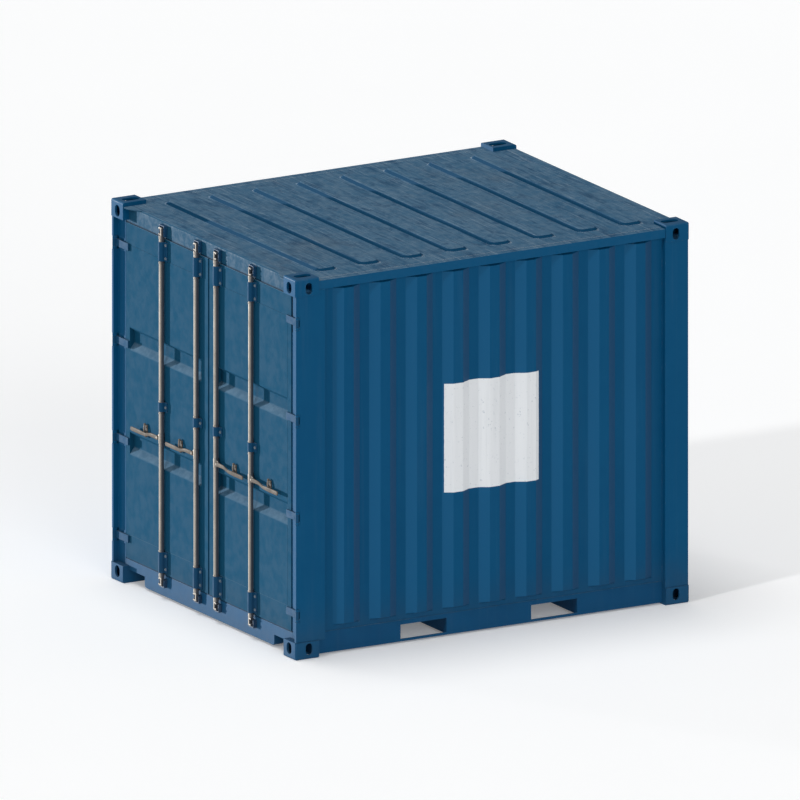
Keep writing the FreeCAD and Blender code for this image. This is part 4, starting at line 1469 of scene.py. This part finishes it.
    def hub(self, skin: Skin, rod: Sequence[float], pivot: Sequence[float], towards: float) -> None:
        """Fan-shaped plate from the rod to the pivot, with the pin and its rivet head.

        The plate's height falls from the hub's to the handle's as a cosine.

        Args:
            skin: The skin that takes it.
            rod: A point on the rod's axis.
            pivot: The handle's pivot.
            towards: 1 or -1, the way along Y that the handle points.
        """
        z = pivot[2]
        skin.add(*self.tube(rod[0], rod[1], z - self.hub_height / 2, z + self.hub_height / 2,
                            self.rod_radius + 0.002, 0.002))
        reach = abs(pivot[1] - rod[1]) + self.handle_width * 0.5
        share = np.linspace(0.0, 1.0, 16)
        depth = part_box("handle_%d" % self.number)[1][0] + 0.001 + self.hub_thickness / 2
        path = np.stack([np.full_like(share, depth), rod[1] + towards * share * reach,
                         np.full_like(share, z)], axis=1)
        fall = 0.5 + 0.5 * np.cos(math.pi * share)
        tall = self.handle_width + (self.hub_height - 0.008 - self.handle_width) * fall
        round_off = np.sqrt(np.clip(1.0 - np.clip((share - 0.75) / 0.25, 0.0, 1.0) ** 2, 0.01, 1.0))
        scale = np.stack([np.ones_like(share), tall * round_off], axis=1)
        skin.add(*swept(path, rounded_bar(self.hub_thickness, 1.0, 6.0, 24), (1, 0, 0), scale))
        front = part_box("handle_%d" % self.number)[0][0]
        pin = np.concatenate([[[0.0, -0.02]], [[0.005, -0.02]], [[0.0075, 0.0]], domed(0.0075, 0.0022)])
        skin.add(*turned(pin, (front, pivot[1], z), (-1, 0, 0), 24))

    def handle(self, pivot: Sequence[float]) -> None:
        """Forge the handle: a flat bar with two soft bends and a flattened grip.

        Its middle line runs outwards from the pivot, and drops by a smooth step
        3t^2 - 2t^3 between a fifth and a half of its length.  The bar narrows at
        the bends and widens again over the grip.

        Args:
            pivot: The handle's pivot.
        """
        node = "handle_%d" % self.number
        x, y, z = pivot
        low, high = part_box(node)
        sign = 1.0 if y > 0 else -1.0
        length = (high[1] - y if sign > 0 else y - low[1]) - 0.0005
        drop = (z - (low[2] + self.handle_width / 2)) * 0.45
        share = np.linspace(0.0, 1.0, 90)
        step = np.clip((share - 0.22) / 0.26, 0.0, 1.0)
        fall = step * step * (3.0 - 2.0 * step)
        path = np.stack([np.full_like(share, x), y + sign * share * length, z - drop * fall], axis=1)
        boss = self.handle_width / 2
        tip = np.clip((share * length - length + boss) / boss, 0.0, 1.0)
        cap = np.sqrt(np.clip(1.0 - tip ** 2, 0.0025, 1.0))
        waist = 1.0 - 0.26 * np.exp(-((share - 0.36) / 0.16) ** 2)
        scale = np.stack([np.clip(cap * 1.3, 0.0, 1.0), cap * waist], axis=1)
        skin = Skin(node + "_forged")
        section = rounded_bar(self.handle_depth, self.handle_width, 3.2, 24)
        skin.add(*swept(path, section, (1, 0, 0), scale))
        half = self.handle_depth / 2
        rim = 0.0015
        eye = np.array([[0.0, -half], [boss - rim, -half], [boss, rim - half], [boss, half - rim],
                        [boss - rim, half], [0.0, half]])
        skin.add(*turned(eye, (x, y, z), (1, 0, 0), 32))
        piece = skin.build(node, Slot.ZINC, self.palette.forged)
        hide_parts(node)

    def catch(self, rod: Sequence[float], pivot: Sequence[float], towards: float) -> None:
        """Bend the catch: a plate on the door, a leaning arm, a knob above and a hook below.

        The arm's stand-off from the door is sin(pi t) raised to a quarter, and it
        leans across by 12 mm over its height.

        Args:
            rod: A point on the rod's axis.
            pivot: The handle's pivot, not used.
            towards: 1 or -1, the way along Y that the handle points.
        """
        side = "left" if self.number < 3 else "right"
        low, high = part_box(side + "_handle_catches")
        y = rod[1] + towards * self.catch_distance
        top = low[2] + self.catch_height
        middle = (low[2] + top) / 2
        skin = Skin("handle_catch_%d" % self.number)
        plate_path = np.stack([np.full(10, high[0] - 0.003), np.full(10, y),
                               np.linspace(low[2] + 0.006, top - 0.012, 10)], axis=1)
        skin.add(*swept(plate_path, rounded_bar(0.006, 0.03, 5.0, 20), (1, 0, 0)))
        share = np.linspace(0.0, 1.0, 40)
        out = np.clip(np.sin(math.pi * np.clip(share, 0.001, 0.999)), 0.0, 1.0) ** 0.25
        reach = high[0] - low[0] - 0.007
        path = np.stack([high[0] - 0.004 - reach * out, y + 0.012 * (share - 0.5),
                         low[2] + 0.004 + share * (top - low[2] - 0.012)], axis=1)
        skin.add(*swept(path, rounded_bar(0.013, 0.008, 3.0, 16), (0, 1, 0)))
        knob = np.concatenate([[[0.0, -0.007]], [[0.006, -0.007]], domed(0.0085, 0.008)])
        skin.add(*turned(knob, (low[0] + 0.011, y + 0.007, top - 0.008), (-0.5, 0, 1), 20))
        hook = np.concatenate([[[0.0, -0.005]], [[0.006, -0.005]], domed(0.0075, 0.006)])
        skin.add(*turned(hook, (low[0] + 0.011, y - 0.006, low[2] + 0.009), (-0.6, 0, -1), 20))
        rivet = np.array([[0.0, 0.0], [0.009, 0.0], [0.009, 0.002], [0.0045, 0.002], [0.0045, 0.005],
                          [0.0, 0.006]])
        for height in (middle - 0.026, middle + 0.022):
            skin.add(*turned(rivet, (high[0] - 0.006, y - 0.011, height), (-1, 0, 0), 18))
        skin.build(side + "_door", Slot.ZINC, self.palette.forged)


@dataclass
class GapSeals:
    """Strips that close the gaps round the doors and between them.

    Args:
        palette: The finishes.
        setback: How far a strip's face lies behind the doors' face.
        thick: Thickness of a strip.
        clear: Gap between a fixed strip and the doors.
        tall: From the doors to the far edge of the strips over and under them.
    """
    palette: Palette
    setback: float = 0.006
    thick: float = 0.005
    clear: float = 0.0012
    tall: float = 0.0085

    def strip(self, skin: Skin, start: Sequence[float], end: Sequence[float], width: float) -> None:
        """Add one straight strip.

        Args:
            skin: The skin that takes it.
            start: Middle of one end.
            end: Middle of the other end.
            width: Its width in the doors' plane.
        """
        path = np.linspace(start, end, 24)
        skin.add(*swept(path, rounded_bar(self.thick, width, 8.0, 20), (1, 0, 0)))

    def build(self) -> None:
        """Lay the strips over and under the doors, down both posts, and along the seam."""
        (face, inner, base), (_, outer, top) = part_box("left_door_frame")
        x = face + self.setback + self.thick / 2
        post = abs(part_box("left_door_post")[0][1])
        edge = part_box("left_hinge_blades")[1][2] - 0.11
        level = Skin("door_gap_seals")
        for low, high in ((top + self.clear, top + self.tall), (base - self.tall, base - self.clear)):
            z = (low + high) / 2
            self.strip(level, (x, -outer, z), (x, outer, z), high - low)
        level.build("container", Slot.SEAL, self.palette.seal)
        posts = Skin("post_gap_strips")
        for sign in (-1.0, 1.0):
            y = sign * (outer + self.clear + post) / 2
            self.strip(posts, (x, y, base), (x, y, edge), post - outer - self.clear)
        posts.build("container", Slot.BODY, self.palette.post)
        for side, sign in (("left", 1.0), ("right", -1.0)):
            lip = Skin(side + "_seam_lip")
            y = sign * (inner / 2 + 0.0002)
            self.strip(lip, (x, y, base + 0.01), (x, y, top - 0.01), inner - 0.0006)
            lip.build(side + "_door", Slot.SEAL, self.palette.seal)


@dataclass
class Fasteners:
    """Hexagon bolts with washers, two to each side of a rod guide or one at a short one.

    Args:
        palette: The finishes.
        flats: Radius of a bolt's head over its corners.
        head: Height of the head below its chamfer.
        washer: Radius of the washer.
        sideways: From a rod's axis to its guides' bolts.
        guides: Height of each guide's middle, and from there to its bolts.
    """
    palette: Palette
    flats: float = 0.008
    head: float = 0.006
    washer: float = 0.0105
    sideways: float = 0.0365
    guides: tuple[tuple[float, float], ...] = ((0.2525, 0.045), (1.3105, 0.0), (2.37, 0.045))

    def bolt(self, skin: Skin, centre: Sequence[float], out: Sequence[float]) -> None:
        """Add one bolt: a washer disc, then a six-sided head with a chamfered top.

        Args:
            skin: The skin that takes it.
            centre: Where it meets the surface.
            out: The way that it points.
        """
        washer = np.array([[0.0, -0.001], [self.washer, -0.001], [self.washer, 0.002], [0.0, 0.002]])
        skin.add(*turned(washer, centre, out, 20))
        head = np.array([[0.0, 0.0], [self.flats, 0.0], [self.flats, self.head],
                         [self.flats * 0.82, self.head * 1.2], [0.0, self.head * 1.2]])
        skin.add(*turned(head, centre, out, 6, phase=0.3))

    def build(self) -> None:
        """Bolt the rod guides to the doors."""
        for side, rods in (("left", (1, 2)), ("right", (3, 4))):
            skin = Skin(side + "_door_bolts")
            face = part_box(side + "_door_frame")[0][0] - 0.008
            for number in rods:
                y = joint_place("lock_rod_%d_turn" % number)[1]
                for centre, spread in self.guides:
                    for offset in (-self.sideways, self.sideways):
                        for height in sorted({centre - spread, centre + spread}):
                            self.bolt(skin, (face, y + offset, height), (-1, 0, 0))
            skin.build(side + "_door", Slot.ZINC, self.palette.bolt, 25.0)


@dataclass
class Welds:
    """Weld beads: a round bead whose radius ripples along its path.

    Args:
        palette: The finishes.
        radius: Middle radius of a bead.
        ripple: Length of one ripple.
    """
    palette: Palette
    radius: float = 0.0035
    ripple: float = 0.006

    def bead(self, skin: Skin, start: Sequence[float], end: Sequence[float],
             side: Sequence[float]) -> None:
        """Add a straight bead.

        The radius is r * (1 + 0.18 sin(2 pi s / ripple)), s being the way along.

        Args:
            skin: The skin that takes it.
            start: One end.
            end: The other end.
            side: A direction square to the bead.
        """
        first, last = np.asarray(start, float), np.asarray(end, float)
        length = float(np.linalg.norm(last - first))
        share = np.linspace(0.0, 1.0, max(8, int(length / self.ripple * 2)))
        path = first + share[:, None] * (last - first)
        scale = 1.0 + 0.18 * np.sin(share * length / self.ripple * 2 * math.pi + 0.7)
        scale[0] = scale[-1] = 0.5
        section = rounded_bar(2 * self.radius, 2 * self.radius, 2.0, 6)
        skin.add(*swept(path, section, side, scale))

    def build(self) -> None:
        """Weld the side walls to their rails and posts."""
        skin = Skin("wall_weld_beads")
        for node, sign in (("right_wall", -1.0), ("left_wall", 1.0)):
            low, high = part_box(node)
            y = sign * (min(abs(low[1]), abs(high[1])) + 0.002)
            for z in (low[2], high[2]):
                self.bead(skin, (low[0], y, z), (high[0], y, z), (0, 1, 0))
            for x in (low[0], high[0]):
                self.bead(skin, (x, y, low[2]), (x, y, high[2]), (0, 1, 0))
        skin.build("container", Slot.BODY, self.palette.post)


# --------------------------------------------------------------- setting
@dataclass(frozen=True)
class Sun:
    """A broad distant light.

    Args:
        name: Its name.
        towards: The way to it from the container.
        angle: How wide it looks, in degrees.
        power: Its strength.
    """
    name: str
    towards: tuple[float, float, float]
    angle: float
    power: float

    def hang(self) -> None:
        """Add the light to the scene."""
        light = bpy.data.lights.new(self.name, "SUN")
        light.angle = math.radians(self.angle)
        light.energy = self.power
        lamp = bpy.data.objects.new(self.name, light)
        lamp.location = Vector(self.towards).normalized() * 8.0
        lamp.rotation_euler = Vector(self.towards).to_track_quat("Z", "Y").to_euler()
        bpy.context.scene.collection.objects.link(lamp)
        LOG.info("%s: strength %.2f", self.name, self.power)


@dataclass
class Studio:
    """Pale floor, soft light and the camera.

    Args:
        view_width: Metres that the picture spans.
        azimuth: Camera angle round Z, in degrees.
        elevation: Camera angle above level, in degrees.
        sky: Colour of the light from all round.
        sky_power: Its strength.
        floor_half: Half the floor's width.
        floor_glow: Strength of the floor's own light.
        suns: The lights.
    """
    view_width: float = 800.0 / 152.0
    azimuth: float = -30.0
    elevation: float = 15.0
    sky: Colour = (0.96, 0.98, 1.0, 1.0)
    sky_power: float = 0.24
    floor_half: float = 30.0
    floor_glow: float = 0.16
    suns: tuple[Sun, ...] = (
        Sun("door_key", (-1.0, 2.1, 0.02), 1.5, 6.0),
        Sun("side_rake", (-1.0, -0.26, 0.6), 3.0, 0.8),
        Sun("side_fill", (-0.1, -1.0, 0.3), 40.0, 1.15),
        Sun("overhead", (-0.1, 0.15, 1.0), 30.0, 1.2),
    )

    def build(self) -> None:
        """Light the scene, lay the floor and set the camera."""
        scene = bpy.context.scene
        scene.view_settings.view_transform = "Standard"
        world = bpy.data.worlds.new("studio")
        world.use_nodes = True
        background = world.node_tree.nodes["Background"]
        background.inputs[0].default_value = self.sky
        background.inputs[1].default_value = self.sky_power
        scene.world = world
        for sun in self.suns:
            sun.hang()
        self.floor()
        self.camera()

    def floor(self) -> None:
        """A wide pale floor at Z = 0 that glows a little of itself."""
        line = np.linspace(-self.floor_half, self.floor_half, 13)
        x, y = np.meshgrid(line, line)
        points = np.stack([x, y, np.zeros_like(x)], axis=-1).reshape(-1, 3)
        mesh = bpy.data.meshes.new("studio_floor")
        mesh.from_pydata(points.tolist(), [], grid_quads(13, 13).tolist())
        floor = bpy.data.objects.new("studio_floor", mesh)
        bpy.context.scene.collection.objects.link(floor)
        nodes = Nodes("studio_floor")
        tone = nodes.mix(nodes.noise(0.6, 3.0), (0.95, 0.95, 0.95, 1.0), (0.97, 0.97, 0.97, 1.0))
        nodes.shader.inputs["Emission Color"].default_value = (1.0, 1.0, 1.0, 1.0)
        mesh.materials.append(nodes.finish(tone, 0.9, Emission_Strength=self.floor_glow))
        LOG.info("studio_floor: %d faces", len(mesh.polygons))

    def camera(self) -> None:
        """A level parallel view of the door end and the right side."""
        low, high = CAD_BOX
        centre = Vector([(a + b) / 2 for a, b in zip(low, high)])
        turn, tilt = math.radians(self.azimuth), math.radians(self.elevation)
        back = Vector((math.sin(turn) * math.cos(tilt), -math.cos(turn) * math.cos(tilt),
                       math.sin(tilt)))
        data = bpy.data.cameras.new("camera")
        data.type = "ORTHO"
        data.ortho_scale = self.view_width
        data.clip_end = 100.0
        eye = bpy.data.objects.new("camera", data)
        eye.location = centre + back * 12.0
        eye.rotation_euler = back.to_track_quat("Z", "Y").to_euler()
        bpy.context.scene.collection.objects.link(eye)
        bpy.context.scene.camera = eye


def main() -> None:
    """Build the container's looks from the frame up, then the studio."""
    logging.basicConfig(level=logging.INFO, format="%(name)s %(message)s")
    palette = Palette(Marking(-0.345, 0.365, 0.985, 1.725))
    Studio().build()
    Steelwork(palette).build()
    shell = Shell(palette)
    shell.walls()
    shell.roof()
    for side in ("left", "right"):
        DoorSkin(side, palette).build()
    gears = [LockGear(number, palette) for number in range(1, 5)]
    for gear in gears:
        gear.build()
    for side, pair in (("left", gears[:2]), ("right", gears[2:])):
        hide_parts(side + "_handle_catches")
    GapSeals(palette).build()
    Fasteners(palette).build()
    Welds(palette).build()


if __name__ == "__main__":
    main()
